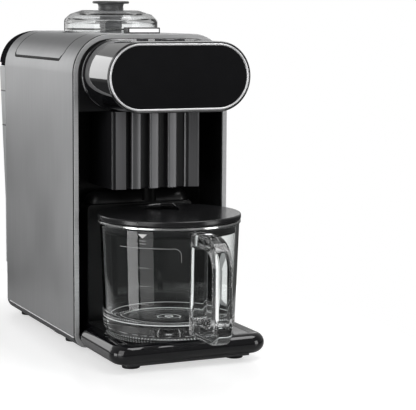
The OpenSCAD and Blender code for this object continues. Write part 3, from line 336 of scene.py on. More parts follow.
def finish(material, *names):
    for name in names:
        nodes[name].data.materials[0] = material


finish(PLATE_BLACK, "front_plate")
finish(TRAY_BLACK, "drip_tray")
finish(tank_frost(), "water_tank")
finish(LID_SATIN, "tank_lid")
finish(LINER_BLACK, "recess_liner")
finish(TRIM_SATIN_GAP_SHADE, "front_trim")
finish(DARK_PLASTIC, "spout_nozzle")
finish(RUBBER_AND_GAP_SHADE, "jug_lid_seal")


# Rounded edges on the CAD pieces

WELD_GAP = 1e-6
FLAT_ANGLE = math.radians(0.2)
SHARP_ANGLE = math.radians(28)
EDGE_STEPS = 3


def smooth(obj):
    data = obj.data
    data.polygons.foreach_set("use_smooth", [True] * len(data.polygons))
    normals = obj.modifiers.new("normals", "WEIGHTED_NORMAL")
    normals.weight = 50
    normals.keep_sharp = False


def soften(width, *names):
    """Rounds the sharp edges of CAD pieces by a width in millimetres."""
    for name in names:
        o = nodes[name]
        weld = o.modifiers.new("weld", "WELD")
        weld.merge_threshold = WELD_GAP
        flat = o.modifiers.new("flat", "DECIMATE")
        flat.decimate_type = "DISSOLVE"
        flat.angle_limit = FLAT_ANGLE
        edge = o.modifiers.new("edge", "BEVEL")
        edge.width = width * MM
        edge.segments = EDGE_STEPS
        edge.limit_method = "ANGLE"
        edge.angle_limit = SHARP_ANGLE
        edge.use_clamp_overlap = False
        smooth(o)


soften(0.5, "side_shell", "base_pan", "top_cover", "recess_liner", "tank_lid", "rear_cover",
       "water_tank")
soften(0.8, "front_trim")
soften(1.2, "head_shell", "spout_cover")
soften(0.4, "front_plate", "control_panel", "drip_plate", "interlock_post")
soften(1.0, "rubber_feet")


# Mesh helpers, in millimetres


def rounded(corners, steps, closed=True):
    """Points of an outline whose corners (x, y, radius) are rounded."""
    points = []
    count = len(corners)
    for i, (x, y, r) in enumerate(corners):
        here = Vector((x, y))
        if r == 0 or (not closed and i in (0, count - 1)):
            points.append(here)
            continue
        u = Vector(corners[i - 1][:2]) - here
        v = Vector(corners[(i + 1) % count][:2]) - here
        half = u.angle(v) / 2
        cut = min(r / math.tan(half), 0.499 * u.length, 0.499 * v.length)
        r = cut * math.tan(half)
        u.normalize()
        v.normalize()
        centre = here + (u + v).normalized() * (r / math.sin(half))
        first, last = here + u * cut - centre, here + v * cut - centre
        turn = math.pi - 2 * half
        if first.x * last.y - first.y * last.x < 0:
            turn = -turn
        for k in range(steps + 1):
            a = turn * k / steps
            points.append(centre + Vector((first.x * math.cos(a) - first.y * math.sin(a),
                                           first.x * math.sin(a) + first.y * math.cos(a))))
    return points


def bridge(bm, a, b):
    """Faces between two rings of verts; a ring of one vert is a tip."""
    count = max(len(a), len(b))
    for i in range(count):
        j = (i + 1) % count
        quad = [a[i % len(a)], a[j % len(a)], b[j % len(b)], b[i % len(b)]]
        corner = list(dict.fromkeys(quad))
        if len(corner) > 2:
            bm.faces.new(corner)


def revolve(bm, profile, centre, turns):
    """Turns a profile of (r, z) about the vertical through centre; one off the axis is closed."""
    rings = []
    for r, z in profile:
        if r < 1e-6:
            rings.append([bm.verts.new((*centre, z))])
            continue
        angles = [2 * math.pi * k / turns for k in range(turns)]
        rings.append([bm.verts.new((centre[0] + r * math.cos(a), centre[1] + r * math.sin(a), z))
                      for a in angles])
    for a, b in zip(rings, rings[1:]):
        bridge(bm, a, b)
    if len(rings[0]) > 1 and len(rings[-1]) > 1:
        bridge(bm, rings[-1], rings[0])


def inset(loop, depth):
    """The loop moved to its left by depth."""
    count = len(loop)
    moved = []
    for i, p in enumerate(loop):
        before = (p - loop[i - 1]).normalized()
        after = (loop[(i + 1) % count] - p).normalized()
        left = Vector((-before.y - after.y, before.x + after.x)).normalized()
        moved.append(p + left * depth / max(0.5, left.dot(Vector((-after.y, after.x)))))
    return moved


def prism(bm, loops, low, high, edge, place, steps):
    """Solid between two levels with rounded edges. place turns (u, v, level) into a point."""
    levels = []
    for k in range(steps + 1):
        t = math.pi / 2 * k / steps
        levels.append((low + edge * (1 - math.cos(t)), edge * (1 - math.sin(t))))
    levels += [(low + high - level, depth) for level, depth in reversed(levels)]
    caps = [[], []]
    for loop in loops:
        rings = []
        for level, depth in levels:
            rings.append([bm.verts.new(place(p.x, p.y, level)) for p in inset(loop, depth)])
        for a, b in zip(rings, rings[1:]):
            bridge(bm, a, b)
        for cap, ring in zip(caps, (rings[0], rings[-1])):
            cap += [bm.edges.get((ring[i - 1], ring[i])) for i in range(len(ring))]
    for cap in caps:
        bmesh.ops.triangle_fill(bm, edges=cap, use_beauty=True)


def circle(x, y, r, count):
    angles = [2 * math.pi * k / count for k in range(count)]
    return [Vector((x + r * math.cos(a), y + r * math.sin(a))) for a in angles]


def along_x(u, v, level):
    return (level, u, v)


def along_y(u, v, level):
    return (u, level, v)


def along_z(u, v, level):
    return (u, v, level)


def piece(name, bm, slot, body, *replaced, material=None):
    """Turns the millimetre mesh into a piece that rides on a body."""
    bmesh.ops.scale(bm, vec=(MM, MM, MM), verts=bm.verts)
    bmesh.ops.recalc_face_normals(bm, faces=bm.faces)
    mesh = bpy.data.meshes.new(name)
    bm.to_mesh(mesh)
    bm.free()
    mesh.materials.append(material or mats[slot])
    o = bpy.data.objects.new(name, mesh)
    scene.collection.objects.link(o)
    smooth(o)
    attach(o, body)
    if replaced:
        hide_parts(*replaced)


# Glass jug and its handle

JUG = (0.0, -81.0)
JUG_FOOT, JUG_RIM = 27.3, 140.0
JUG_FOOT_R, JUG_RIM_R, JUG_LIP_R = 66.2, 70.5, 71.7
JUG_NECK = 136.0
FOOT_ROUND = 11.0
STIPPLE_RISE, STIPPLE_COUNT, STIPPLE_R = math.radians(38), 120, 0.75


def jug_radius(z):
    return JUG_FOOT_R + (JUG_RIM_R - JUG_FOOT_R) * (z - JUG_FOOT) / (JUG_RIM - JUG_FOOT)


def make_jug():
    bm = bmesh.new()
    profile = rounded([
        (0, 32.6, 0), (7, 32.6, 4), (13, 29.0, 4), (47, 29.0, 3), (51, JUG_FOOT, 1.4),
        (JUG_FOOT_R, JUG_FOOT, FOOT_ROUND), (jug_radius(JUG_NECK), JUG_NECK, 1.0),
        (JUG_LIP_R, 137.2, 0.8), (JUG_LIP_R, JUG_RIM, 1.2),
        (67.5, JUG_RIM, 1.2), (63.4, 38.3, 14), (17, 38.3, 6), (10, 39.6, 5), (0, 39.6, 0),
    ], steps=8, closed=False)
    revolve(bm, profile, JUG, 192)
    piece("jug_vessel", bm, "clear_glass", "jug", "jug_glass")
    # A whitish band under the lid's edge: painted highlight along the glass rim.
    bm = bmesh.new()
    inner, outer, foot, top = JUG_LIP_R - 0.3, JUG_LIP_R + 0.12, 137.6, 139.2
    band = [(inner, foot, 0.1), (outer, foot, 0.1), (outer, top, 0.1), (inner, top, 0.1)]
    revolve(bm, rounded(band, 2), JUG, 192)
    piece("jug_rim_highlight", bm, "clear_glass", "jug", material=RIM_PAINTED_HIGHLIGHT)
    # Stipple dots round the foot, in a glowing white: real dots with painted glints.
    bm = bmesh.new()
    r = JUG_FOOT_R - FOOT_ROUND + FOOT_ROUND * math.sin(STIPPLE_RISE)
    z = JUG_FOOT + FOOT_ROUND - FOOT_ROUND * math.cos(STIPPLE_RISE)
    for row, (dr, dz) in enumerate(((0, 0), (-1.5, -1.0))):
        for k in range(STIPPLE_COUNT):
            a = 2 * math.pi * (k + 0.5 * row) / STIPPLE_COUNT
            spot = (JUG[0] + (r + dr) * math.cos(a), JUG[1] + (r + dr) * math.sin(a), z + dz)
            bmesh.ops.create_icosphere(bm, subdivisions=1, radius=STIPPLE_R,
                                       matrix=Matrix.Translation(spot))
    piece("jug_stipple", bm, "clear_glass", "jug", material=GLINT_GLOW_FROST)
    # Thin glowing rings on the jug's floor: painted glints of its inner edges.
    bm = bmesh.new()
    for r, z, half in ((60.0, 42.4, 0.5), (49.5, 38.55, 0.5), (11.5, 39.3, 0.5), (4.0, 39.75, 0.4)):
        revolve(bm, [(r - half, z), (r, z + 0.25), (r + half, z), (r, z - 0.2)], JUG, 128)
    piece("jug_floor_glints", bm, "clear_glass", "jug", material=GLINT_GLOW_FROST)


def make_handle():
    low, high, outer, gap = 34.0, 135.5, -212.0, 0.1
    half, edge = 9, 3.4
    at_low = JUG[1] - jug_radius(low) - gap
    at_high = JUG[1] - jug_radius(high) - gap
    outline = rounded([(outer, low, 15), (at_low, low, 4), (at_high, high, 4),
                       (outer, high, 28)], 10)
    window = rounded([(-199, 51, 8), (-199, 122, 15), (-157, 122, 3.5), (-155.2, 51, 3.5)], 8)
    bm = bmesh.new()
    prism(bm, [outline, window], -half, half, edge, along_x, 5)
    piece("jug_grip", bm, "clear_plastic", "jug", "jug_handle")


MARK_TURN = 45.0
MARK_SUNK, MARK_T = 0.03, 0.12
ARROW_TOP, ARROW_H, ARROW_HALF, ARROW_STRIPS = 133.0, 4.0, 4.6, 24


def mark_point(u, z, lift):
    """A point on the glass: u mm round from the marks' middle, at height z."""
    r = jug_radius(z) + lift
    a = math.radians(MARK_TURN) - u / jug_radius(z)
    return (JUG[0] - r * math.sin(a), JUG[1] - r * math.cos(a), z)


def make_marks():
    bm = bmesh.new()

    def strip(path, half):
        rings = []
        for i, p in enumerate(path):
            along = (path[min(i + 1, len(path) - 1)] - path[max(i - 1, 0)]).normalized()
            side = Vector((-along.y, along.x)) * half
            ring = []
            for q, lift in ((p + side, MARK_SUNK), (p - side, MARK_SUNK),
                            (p - side, MARK_T), (p + side, MARK_T)):
                ring.append(bm.verts.new(mark_point(q.x, q.y, lift)))
            rings.append(ring)
        for a, b in zip(rings, rings[1:]):
            bridge(bm, a, b)
        bm.faces.new(rings[0])
        bm.faces.new(rings[-1])

    def straight(u0, u1, z, half, parts=8):
        strip([Vector((u0 + (u1 - u0) * k / parts, z)) for k in range(parts + 1)], half)

    for k in range(ARROW_STRIPS):
        width = ARROW_HALF * (1 - k / ARROW_STRIPS)
        straight(-width, width, ARROW_TOP - ARROW_H * k / ARROW_STRIPS, 0.1, 4)
    piece("jug_mark_top", bm, "key_grey", "jug", material=MARK_WHITE)
    bm = bmesh.new()
    for z in (126.6, 123.8):
        straight(-3.2, 3.2, z, 0.35, 4)
    line = rounded([(-26, 119.5, 0), (38, 119.5, 7), (38, 106, 0)], 8, closed=False)
    flat = [line[0] + (line[1] - line[0]) * k / 24 for k in range(24)]
    strip(flat + line[1:], 0.28)
    for z in (100, 82, 64):
        straight(-6, 6, z, 0.22)
    piece("jug_marks", bm, "key_grey", "jug", material=MARK_GREY)


# Jug lid: disc with a square inlet, plug ring and finger hood

LID_FOOT, LID_TOP, LID_PLUG_R, LID_PLUG_WALL = 140.3, 146.0, 66.4, 3
INLET_HALF, INLET_FRONT, INLET_BACK = 9.5, -37.5, -18.5
HOOD = (0.0, -64.0)
HOOD_TURN = math.radians(-25)
HOOD_BASE = LID_TOP - 0.3


def hood_point(u, w, z):
    """A point of the hood: u mm across and w mm back, turned like the hood's mouth."""
    c, s = math.cos(HOOD_TURN), math.sin(HOOD_TURN)
    return (HOOD[0] + u * c - w * s, HOOD[1] + u * s + w * c, z)


def make_jug_lid():
    low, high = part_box("jug_lid")
    bm = bmesh.new()
    inlet = rounded([(-INLET_HALF, INLET_FRONT, 1.5), (-INLET_HALF, INLET_BACK, 1.5),
                     (INLET_HALF, INLET_BACK, 1.5), (INLET_HALF, INLET_FRONT, 1.5)], 4)
    prism(bm, [circle(*JUG, high.x / MM, 160), inlet], LID_FOOT, LID_TOP, 1.5, along_z, 5)
    plug_low, plug_high = low.z / MM, LID_FOOT + 0.1
    plug_in = LID_PLUG_R - LID_PLUG_WALL
    revolve(bm, rounded([(plug_in, plug_low, 0.5), (LID_PLUG_R, plug_low, 0.5),
                         (LID_PLUG_R, plug_high, 0), (plug_in, plug_high, 0)], 3), JUG, 160)
    piece("jug_lid_disc", bm, "lid_black", "jug_lid", "jug_lid")
    # Each row: back, left foot, left lean, left top, right top's place and height, right foot
    rows = [
        (2.3, -3.5, 0.4, 152.4, 10.5, 153.0, 17.0),
        (4.3, -7.9, 0.5, 151.9, 10.6, 153.0, 17.2),
        (6.8, -13.0, 0.6, 151.0, 10.4, 152.8, 17.0),
        (9.6, -17.4, 0.9, 149.4, 9.8, 152.2, 16.4),
        (12.5, -20.0, 1.6, 147.4, 8.8, 151.2, 15.2),
        (17.0, -18.0, 3.0, 147.0, 7.2, 149.6, 13.2),
        (22.0, -12.5, 4.0, 146.4, 5.2, 147.8, 10.2),
    ]
    bm = bmesh.new()

    def skin(back, corners):
        flat = rounded(corners, 5, closed=False)
        return [bm.verts.new(hood_point(p.x, back, p.y)) for p in flat]

    rings = []
    for back, left, lean, left_z, right, right_z, foot in rows:
        rings.append(skin(back, [(left, HOOD_BASE, 0), (left + lean, left_z, 0.7),
                                 (right, right_z, 2.5), (foot, HOOD_BASE, 0)]))
    mouth, left, lean, left_z, right, right_z, foot = rows[0]
    inside = []
    for back, wall in ((mouth, 1.1), (9.0, 2.4)):
        inside.append(skin(back, [(left + wall, HOOD_BASE, 0),
                                  (left + lean + wall, left_z - wall, 0.5),
                                  (right - wall, right_z - wall, 2),
                                  (foot - 1.6 * wall, HOOD_BASE, 0)]))
    skins = list(reversed(inside)) + rings
    for a, b in zip(skins, skins[1:]):
        for i in range(len(a) - 1):
            bm.faces.new((a[i], a[i + 1], b[i + 1], b[i]))
    bm.faces.new(skins[0])
    bm.faces.new(skins[-1])
    under = [s[0] for s in skins] + [s[-1] for s in reversed(skins)]
    bm.faces.new(under)
    piece("jug_lid_hood", bm, "lid_black", "jug_lid", material=HOOD_BLACK)


# Chamber lid: dome, knob and stem

LID = (0.0, 80.0)


def make_chamber_lid():
    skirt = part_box("lid_seal")[1].x / MM
    bm = bmesh.new()
    revolve(bm, rounded([
        (0, 344.55, 0), (15.5, 344.3, 3), (21, 342.4, 5), (31, 341.8, 9), (40.6, 338.9, 9),
        (46.6, 333.8, 7), (47.6, 326.6, 1),
        (skirt - 2.5, 326.4, 1), (skirt - 2.5, 314, 0.6), (skirt, 314, 0.6),
        (skirt, 323.3, 0.5), (50.5, 323.3, 1), (50.5, 336.6, 6), (44, 342.4, 8), (31, 346.6, 8),
        (22, 346.2, 4), (15.5, 347, 2), (0, 347, 0),
    ], 8, closed=False), LID, 160)
    piece("lid_dome_clear", bm, "clear_plastic", "chamber_lid", "lid_dome")
    bm = bmesh.new()
    revolve(bm, rounded([
        (0, 347.05, 0), (14, 347.05, 0.7), (13.3, 350, 5), (14, 353.5, 1.6), (19.2, 353.7, 0.7),
        (20, 355.1, 0.9), (19.3, 356.3, 0.9), (15, 356.5, 2), (0, 356.1, 0),
    ], 6, closed=False), LID, 96)
    piece("lid_knob_turned", bm, "knob_grey", "chamber_lid", "lid_knob")
    bm = bmesh.new()
    stem = [(0, 319.2, 0), (10.8, 319.2, 0.6), (12.2, 320.4, 0.5)]
    for z in (324, 330, 336, 338.4, 340.8):
        stem += [(12.2, z, 0.2), (11.5, z + 0.3, 0.2), (11.5, z + 1.1, 0.2), (12.2, z + 1.4, 0.2)]
    stem += [(12.4, 343.9, 0.4), (0, 344.1, 0)]
    revolve(bm, rounded(stem, 3, closed=False), LID, 96)
    piece("lid_stem", bm, "knob_grey", "chamber_lid", "knob_screw", material=STEM_GREY)


# The round-topped panel behind the jug


def make_panel():
    bm = bmesh.new()
    half, foot, top, front, back = 60, 7, 147, -6, 20
    face = rounded([(-half, foot, 1), (half, foot, 1), (half, top, 6), (-half, top, 6)], 5)
    prism(bm, [face], front, back, 1.5, along_y, 4)
    r, end, mid, level, count = 13.0, 58.0, 7.0, 146.5, 24
    stops = [end - r * (1 - math.sin(math.pi / 2 * k / 12)) for k in range(13)]
    xs = [-x for x in reversed(stops)] + stops
    rings = []
    for x in xs:
        part = math.sqrt(max(0.0, r * r - max(0.0, abs(x) - end + r) ** 2))
        if part < 1e-3:
            rings.append([bm.verts.new((x, mid, level))])
            continue
        angles = [math.pi * k / count for k in range(count + 1)]
        rings.append([bm.verts.new((x, mid + part * math.cos(a), level + part * math.sin(a)))
                      for a in angles])
    for a, b in zip(rings, rings[1:]):
        bridge(bm, a, b)
    piece("recess_panel_round", bm, "recess_black", "housing", "recess_panel", material=PANEL_BLACK)


# Dark strip in the seam round the top cover: painted shade for the cover's shadow gap

BODY_HALF, BODY_H, TOP_R, FRONT_Y = 85.0, 323.0, 40.0, -36.0
COVER_FRONT, COVER_BACK, COVER_EDGE = 42.0, 200.0, 295.5
SEAM_IN, SEAM_PROUD, SEAM_DEEP = 0.4, 0.06, 0.8
SEAM_HALF_SIDE, SEAM_HALF_UP = 1.5, 0.6


def make_seam_shade():
    y0, y1 = COVER_FRONT + FRONT_Y + SEAM_IN, COVER_BACK + FRONT_Y - SEAM_IN
    z0, cut, step, low_run = COVER_EDGE + SEAM_IN, 7, 1.5, 4
    side = rounded([(y0, BODY_H, 0), (y0, z0 + cut, 0.5), (y0 + cut, z0, 0.5), (y1, z0, 7.6),
                    (y1, BODY_H, 0)], 8, closed=False)
    path = []
    for a, b in zip(side, side[1:]):
        count = max(1, int((b - a).length / step))
        path += [a + (b - a) * k / count for k in range(count)]
    path.append(side[-1])
    rings = []
    bm = bmesh.new()

    def add(point, normal, along, half):
        side_way = normal.cross(along).normalized() * half
        ring = [point + side_way + normal * SEAM_PROUD, point - side_way + normal * SEAM_PROUD,
                point - side_way * 0.6 - normal * SEAM_DEEP,
                point + side_way * 0.6 - normal * SEAM_DEEP]
        rings.append([bm.verts.new(v) for v in ring])

    def on_shell(p, turn):
        c = min(1.0, max(0.0, (p.y - BODY_H + TOP_R) / TOP_R))
        a = math.asin(c)
        out = Vector((turn * math.cos(a), 0, math.sin(a)))
        x = turn * (BODY_HALF - TOP_R + TOP_R * math.cos(a))
        z = p.y if c == 0 else BODY_H - TOP_R + TOP_R * math.sin(a)
        return Vector((x, p.x, z)), out

    def run(points, turn):
        spots = [on_shell(p, turn) for p in points]
        for i, (point, out) in enumerate(spots):
            along = spots[min(i + 1, len(spots) - 1)][0] - spots[max(i - 1, 0)][0]
            # The painted shade is wider along the lower run, where the cover's shadow falls.
            half = SEAM_HALF_SIDE if points[i].y < z0 + low_run else SEAM_HALF_UP
            add(point, out, along.normalized(), half)

    run(path, -1)
    run(list(reversed(path)), 1)
    for a, b in zip(rings, rings[1:] + rings[:1]):
        bridge(bm, a, b)
    piece("cover_seam_shade", bm, "foot_rubber", "housing", material=RUBBER_AND_GAP_SHADE)


# Dark strip between the shell and the front trim: painted shade for the shadow gap there


def make_trim_gap_shade():
    front, back, foot, sunk, depth = FRONT_Y + 1.6, FRONT_Y + 3.5, 17.0, 0.02, 0.9

    def outline(margin):
        x, z, r = BODY_HALF - margin, BODY_H - margin, TOP_R - margin
        return rounded([(-x, foot, 0), (-x, z, r), (x, z, r), (x, foot, 0)], 24, closed=False)

    bm = bmesh.new()
    rings = []
    for p, q in zip(outline(sunk), outline(sunk + depth)):
        corners = [(p.x, front, p.y), (p.x, back, p.y), (q.x, back, q.y), (q.x, front, q.y)]
        rings.append([bm.verts.new(corner) for corner in corners])
    for a, b in zip(rings, rings[1:]):
        bridge(bm, a, b)
    bm.faces.new(rings[0])
    bm.faces.new(rings[-1])
    piece("trim_gap_shade", bm, "foot_rubber", "housing", material=RUBBER_AND_GAP_SHADE)


# Pale hem at the shell's foot as a painted highlight of its edge, signs on the keys, and marks on
# the tank's back


def make_hem_highlight():
    bm = bmesh.new()
    corners = [(84.4, 15.4), (84.97, 15.2), (84.94, 14.3), (84.4, 14.1)]
    for turn in (-1, 1):
        rings = []
        for y in (FRONT_Y + 4.2, 184.0):
            rings.append([bm.verts.new((turn * x, y, z)) for x, z in corners])
        bridge(bm, *rings)
        for ring in rings:
            bm.faces.new(ring)
    piece("shell_hem_highlight", bm, "satin_metal", "housing", material=HEM_PAINTED_HIGHLIGHT)


def make_signs():
    """A power sign on the start key, dots on the menu keys and a light above each of these."""
    ring_out, ring_in, bar_half, bar_low, bar_high = 3.9, 3.1, 0.4, 1.2, 4.6
    dot_r, dot_step, light_r, light_back = 0.85, 2.6, 0.7, 6.6
    sunk, proud, edge = 0.1, 0.08, 0.02

    def sign(name, body, loops, top):
        bm = bmesh.new()
        for loop in loops:
            prism(bm, [loop], top - sunk, top + proud, edge, along_z, 1)
        piece(name, bm, "key_grey", body, material=MARK_WHITE)

    def middle(low, high):
        return (low.x + high.x) / 2 / MM, (low.y + high.y) / 2 / MM

    low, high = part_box("start_key")
    x, y = middle(low, high)
    turns = [math.radians(125 + 290 * k / 40) for k in range(41)]
    arc = []
    for r, angles in ((ring_out, turns), (ring_in, reversed(turns))):
        arc += [Vector((x + r * math.cos(a), y + r * math.sin(a))) for a in angles]
    bar = [Vector((x - bar_half, y + bar_low)), Vector((x + bar_half, y + bar_low)),
           Vector((x + bar_half, y + bar_high)), Vector((x - bar_half, y + bar_high))]
    sign("start_sign", "start_key", [arc, bar], high.z / MM)
    lights = []
    for k in (1, 2, 3):
        low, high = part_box(f"menu_key_{k}")
        x, y = middle(low, high)
        dots = [circle(x + dot_step * (i - (k - 1) / 2), y, dot_r, 20) for i in range(k)]
        sign(f"menu_sign_{k}", f"menu_key_{k}", dots, high.z / MM)
        lights.append(circle(x, y + light_back, light_r, 16))
    sign("panel_lights", "housing", lights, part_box("control_panel")[1].z / MM)


def make_tank_marks():
    """Short bars on the tank's sloping back."""
    count, first, step, left, long_bar, short_bar = 7, 150, 18, -40, 14, 8
    foot_z, foot_y, rise, reach, tilt = 130, 195, 152.5, 17, 0.111
    bm = bmesh.new()
    for k in range(count):
        z = first + step * k
        right = left + (long_bar if k % 3 == 0 else short_bar)
        back = foot_y + reach * (z - foot_z) / rise
        rings = []
        for dy, dz in ((-0.2, -0.5), (0.1, -0.5), (0.1, 0.5), (-0.2, 0.5)):
            y = back + dy + tilt * dz
            rings.append([bm.verts.new((x, y, z + dz)) for x in (left, right)])
        for a, b in zip(rings, rings[1:] + rings[:1]):
            bm.faces.new((a[0], a[1], b[1], b[0]))
        bm.faces.new([r[0] for r in rings])
        bm.faces.new([r[1] for r in rings])
    piece("tank_marks", bm, "key_grey", "tank")


# Head ring, the lock block's pale window that glows as painted light, and the ribs' satin faces

HEAD_R, HEAD_FLAT, HEAD_Z = 34.8, 41.6, 282.2


def make_window():
    bm = bmesh.new()
    half, low, high, front, back = 16.3, 324.3, 327.9, -14.7, -13.9
    outline = rounded([(-half, low, 0.5), (half, low, 0.5),
                       (half, high, 0.5), (-half, high, 0.5)], 4)
    prism(bm, [outline], front, back, 0.2, along_y, 3)
    piece("lock_window", bm, "lid_black", "housing", material=WINDOW_PALE_GLOW)


def stadium(margin):
    """The head's outline, drawn in by margin, as points of (x, z)."""
    r, count = HEAD_R - margin, 40
    points = []
    for side, start in ((1, -90), (-1, 90)):
        for k in range(count + 1):
            a = math.radians(start + 180 * k / count)
            points.append(Vector((side * HEAD_FLAT + r * math.cos(a), HEAD_Z + r * math.sin(a))))
    return points


def make_ring():
    outer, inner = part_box("head_ring"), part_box("front_plate")
    margin = HEAD_FLAT + HEAD_R - outer[1].x / MM
    width = (outer[1].x - inner[1].x) / MM - 0.1
    bm = bmesh.new()
    loops = [stadium(margin), list(reversed(stadium(margin + width)))]
    edge = 0.42 * width
    prism(bm, loops, outer[0].y / MM, outer[1].y / MM, edge, along_y, 5)
    piece("head_ring_bright", bm, "bright_ring", "housing", "head_ring")


def make_ribs():
    bm = bmesh.new()
    low, high, face, sunk, proud, count = 166.6, 245.2, -46.0, 2.6, 0.9, 12
    corner_share, corner_drop = 0.14, 0.5
    # Each span: left, right, tilt in degrees, crown
    spans = [(-47.2, -33.75, -19, 0.3), (-27.0, -16.2, -1, 1.0), (-7.0, 3.4, 7, 0.2),
             (13.2, 23.4, 7, 0.2), (32.6, 47.2, -18, 0.2)]
    for x0, x1, tilt, crown in spans:
        mid, half = (x0 + x1) / 2, (x1 - x0) / 2
        slope = math.tan(math.radians(tilt))
        profile = [(x0, face + sunk), (x1, face + sunk)]
        for k in range(count + 1):
            t = 1 - 2 * k / count
            corner = corner_drop * max(0.0, abs(t) - 1 + corner_share) / corner_share
            y = face - proud - crown * (1 - t * t) + slope * t * half + corner
            profile.append((mid + t * half, y))
        prism(bm, [[Vector(p) for p in profile]], low, high, 0.05, along_z, 1)
    piece("rib_faces", bm, "ribbed_black", "housing", material=RIB_SATIN)


make_jug()
make_handle()
make_marks()
make_jug_lid()
make_chamber_lid()
make_panel()
make_seam_shade()
make_trim_gap_shade()
make_hem_highlight()
make_signs()
make_tank_marks()
make_window()
make_ring()
make_ribs()


# Stage: a pale floor, a white surround and soft lamps

FLOOR_R, FLOOR_DROP = 0.45, 0.0003
FLOOR_X = 0.62
FLOOR_NEAR, FLOOR_FAR, FLOOR_FADE = (0.5, 0.5, 0.5), (0.06, 0.06, 0.06), (0.2, 0.43)
LIFT_NEAR, LIFT_FAR, LIFT_FADE = 0.6, 1.0, (0.22, 0.41)
FRONT_LEVEL, REAR_LEVEL, LEVEL_FADE = 0.22, 0.42, (-0.2, 0.7)
BELOW_SHARE, BELOW_FADE = 0.1, (-0.15, 0.1)
INNER_SHARE = 0.03


def in_view(tree, path):
    """1 for what the camera sees directly or through clear pieces, less after a reflection."""
    seen = maths(tree, "MAXIMUM")
    bounces = maths(tree, "ADD")
    direct = maths(tree, "LESS_THAN", 0.5)
    share = maths(tree, "MULTIPLY_ADD", 1 - INNER_SHARE, INNER_SHARE)
    both = maths(tree, "MULTIPLY")
    link = tree.links.new
    link(path.outputs["Is Camera Ray"], seen.inputs[0])
    link(path.outputs["Is Transmission Ray"], seen.inputs[1])
    link(path.outputs["Diffuse Depth"], bounces.inputs[0])
    link(path.outputs["Glossy Depth"], bounces.inputs[1])
    link(bounces.outputs[0], direct.inputs[0])
    link(seen.outputs[0], both.inputs[0])
    link(direct.outputs[0], share.inputs[0])
    link(share.outputs[0], both.inputs[1])
    return both.outputs[0]


def make_floor():
    """A small oval that fades to white towards its edge and keeps the part's shadow."""
    mesh = bpy.data.meshes.new("floor")
    bm = bmesh.new()
    bmesh.ops.create_circle(bm, cap_ends=True, segments=128, radius=FLOOR_R,
                            matrix=Matrix.Translation((0, 0, -FLOOR_DROP)))
    bmesh.ops.scale(bm, vec=(FLOOR_X, 1, 1), verts=bm.verts)
    bm.to_mesh(mesh)
    bm.free()
    floor = bpy.data.objects.new("floor", mesh)
    scene.collection.objects.link(floor)
    mat, tree, out = new_material("floor_white")
    bsdf = tree.nodes.new("ShaderNodeBsdfPrincipled")
    bsdf.inputs["Roughness"].default_value = 0.3
    bsdf.inputs["Specular IOR Level"].default_value = 0.35
    lift = tree.nodes.new("ShaderNodeEmission")
    path = tree.nodes.new("ShaderNodeLightPath")
    add = tree.nodes.new("ShaderNodeAddShader")
    coord = tree.nodes.new("ShaderNodeTexCoord")
    widen = tree.nodes.new("ShaderNodeVectorMath")
    widen.operation = "MULTIPLY"
    widen.inputs[1].default_value = (1 / FLOOR_X, 1, 1)
    away = tree.nodes.new("ShaderNodeVectorMath")
    away.operation = "DISTANCE"
    away.inputs[1].default_value = (0, 0, 0)
    level = maths(tree, "MULTIPLY")
    link = tree.links.new
    link(coord.outputs["Object"], widen.inputs[0])
    link(widen.outputs[0], away.inputs[0])
    shade = tint(tree, away.outputs["Value"], FLOOR_NEAR, FLOOR_FAR, *FLOOR_FADE)
    link(shade, bsdf.inputs["Base Color"])
    link(in_view(tree, path), level.inputs[0])
    link(spread(tree, away.outputs["Value"], LIFT_NEAR, LIFT_FAR, *LIFT_FADE), level.inputs[1])
    link(level.outputs[0], lift.inputs["Strength"])
    link(bsdf.outputs[0], add.inputs[0])
    link(lift.outputs[0], add.inputs[1])
    link(add.outputs[0], out.inputs["Surface"])
    mesh.materials.append(mat)


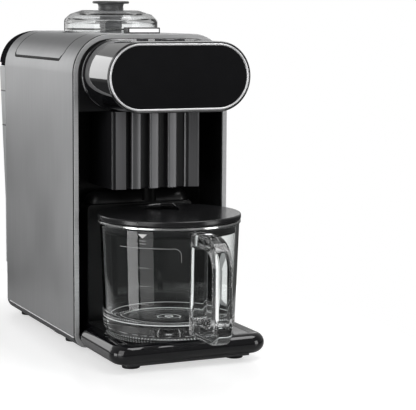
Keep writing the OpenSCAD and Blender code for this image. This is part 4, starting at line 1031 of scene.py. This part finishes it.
def make_world():
    """White where it is seen; for other rays a dim surround, lighter behind and dark below."""
    world = bpy.data.worlds.new("surround")
    scene.world = world
    world.use_nodes = True
    tree = world.node_tree
    tree.nodes.clear()
    out = tree.nodes.new("ShaderNodeOutputWorld")
    dim = tree.nodes.new("ShaderNodeBackground")
    dim.inputs["Color"].default_value = (1, 1, 1, 1)
    coord = tree.nodes.new("ShaderNodeTexCoord")
    axes = tree.nodes.new("ShaderNodeSeparateXYZ")
    white = tree.nodes.new("ShaderNodeBackground")
    white.inputs["Color"].default_value = (1, 1, 1, 1)
    white.inputs["Strength"].default_value = 1.0
    path = tree.nodes.new("ShaderNodeLightPath")
    mix = tree.nodes.new("ShaderNodeMixShader")
    level = maths(tree, "MULTIPLY")
    link = tree.links.new
    link(coord.outputs["Generated"], axes.inputs[0])
    link(spread(tree, axes.outputs["Y"], FRONT_LEVEL, REAR_LEVEL, *LEVEL_FADE), level.inputs[0])
    link(spread(tree, axes.outputs["Z"], BELOW_SHARE, 1.0, *BELOW_FADE), level.inputs[1])
    link(level.outputs[0], dim.inputs["Strength"])
    link(in_view(tree, path), mix.inputs["Fac"])
    link(dim.outputs[0], mix.inputs[1])
    link(white.outputs[0], mix.inputs[2])
    link(mix.outputs[0], out.inputs["Surface"])


def make_lamp(name, pos, aim, size, power):
    data = bpy.data.lights.new(name, "AREA")
    data.shape = "RECTANGLE"
    data.size, data.size_y = size
    data.energy = power
    lamp = bpy.data.objects.new(name, data)
    scene.collection.objects.link(lamp)
    away = Vector(aim) - Vector(pos)
    lamp.matrix_world = Matrix.Translation(pos) @ away.to_track_quat("-Z", "Y").to_matrix().to_4x4()
    lamp.visible_camera = False
    lamp.visible_transmission = False


# Each lamp: name, place, aim, width and height, watts
LAMPS = [
    ("softbox_back_left", (-0.74, 1.5, 0.52), (-0.08, -0.07, 0.28), (1.27, 0.76), 4.9),
    ("softbox_back_right", (0.72, 1.25, 0.49), (0.05, -0.1, 0.14), (0.6, 0.24), 0.4),
    ("softbox_top", (0.55, -0.3, 1.5), (0.0, 0.05, 0.18), (1.0, 0.8), 12.0),
    ("softbox_left", (-0.76, -0.16, -0.04), (-0.05, -0.1, -0.04), (0.26, 0.48), 1.85),
    ("softbox_left_dim", (-0.72, -0.5, -0.04), (-0.05, -0.1, -0.04), (0.34, 0.48), 0.8),
    ("softbox_front_left", (-0.8, -0.66, 0.56), (-0.05, -0.06, 0.2), (0.6, 1.0), 4.9),
    ("softbox_front_right", (1.15, -1.2, 0.26), (0, -0.1, 0.2), (0.6, 0.9), 6.0),
]

make_floor()
make_world()
for lamp in LAMPS:
    make_lamp(*lamp)
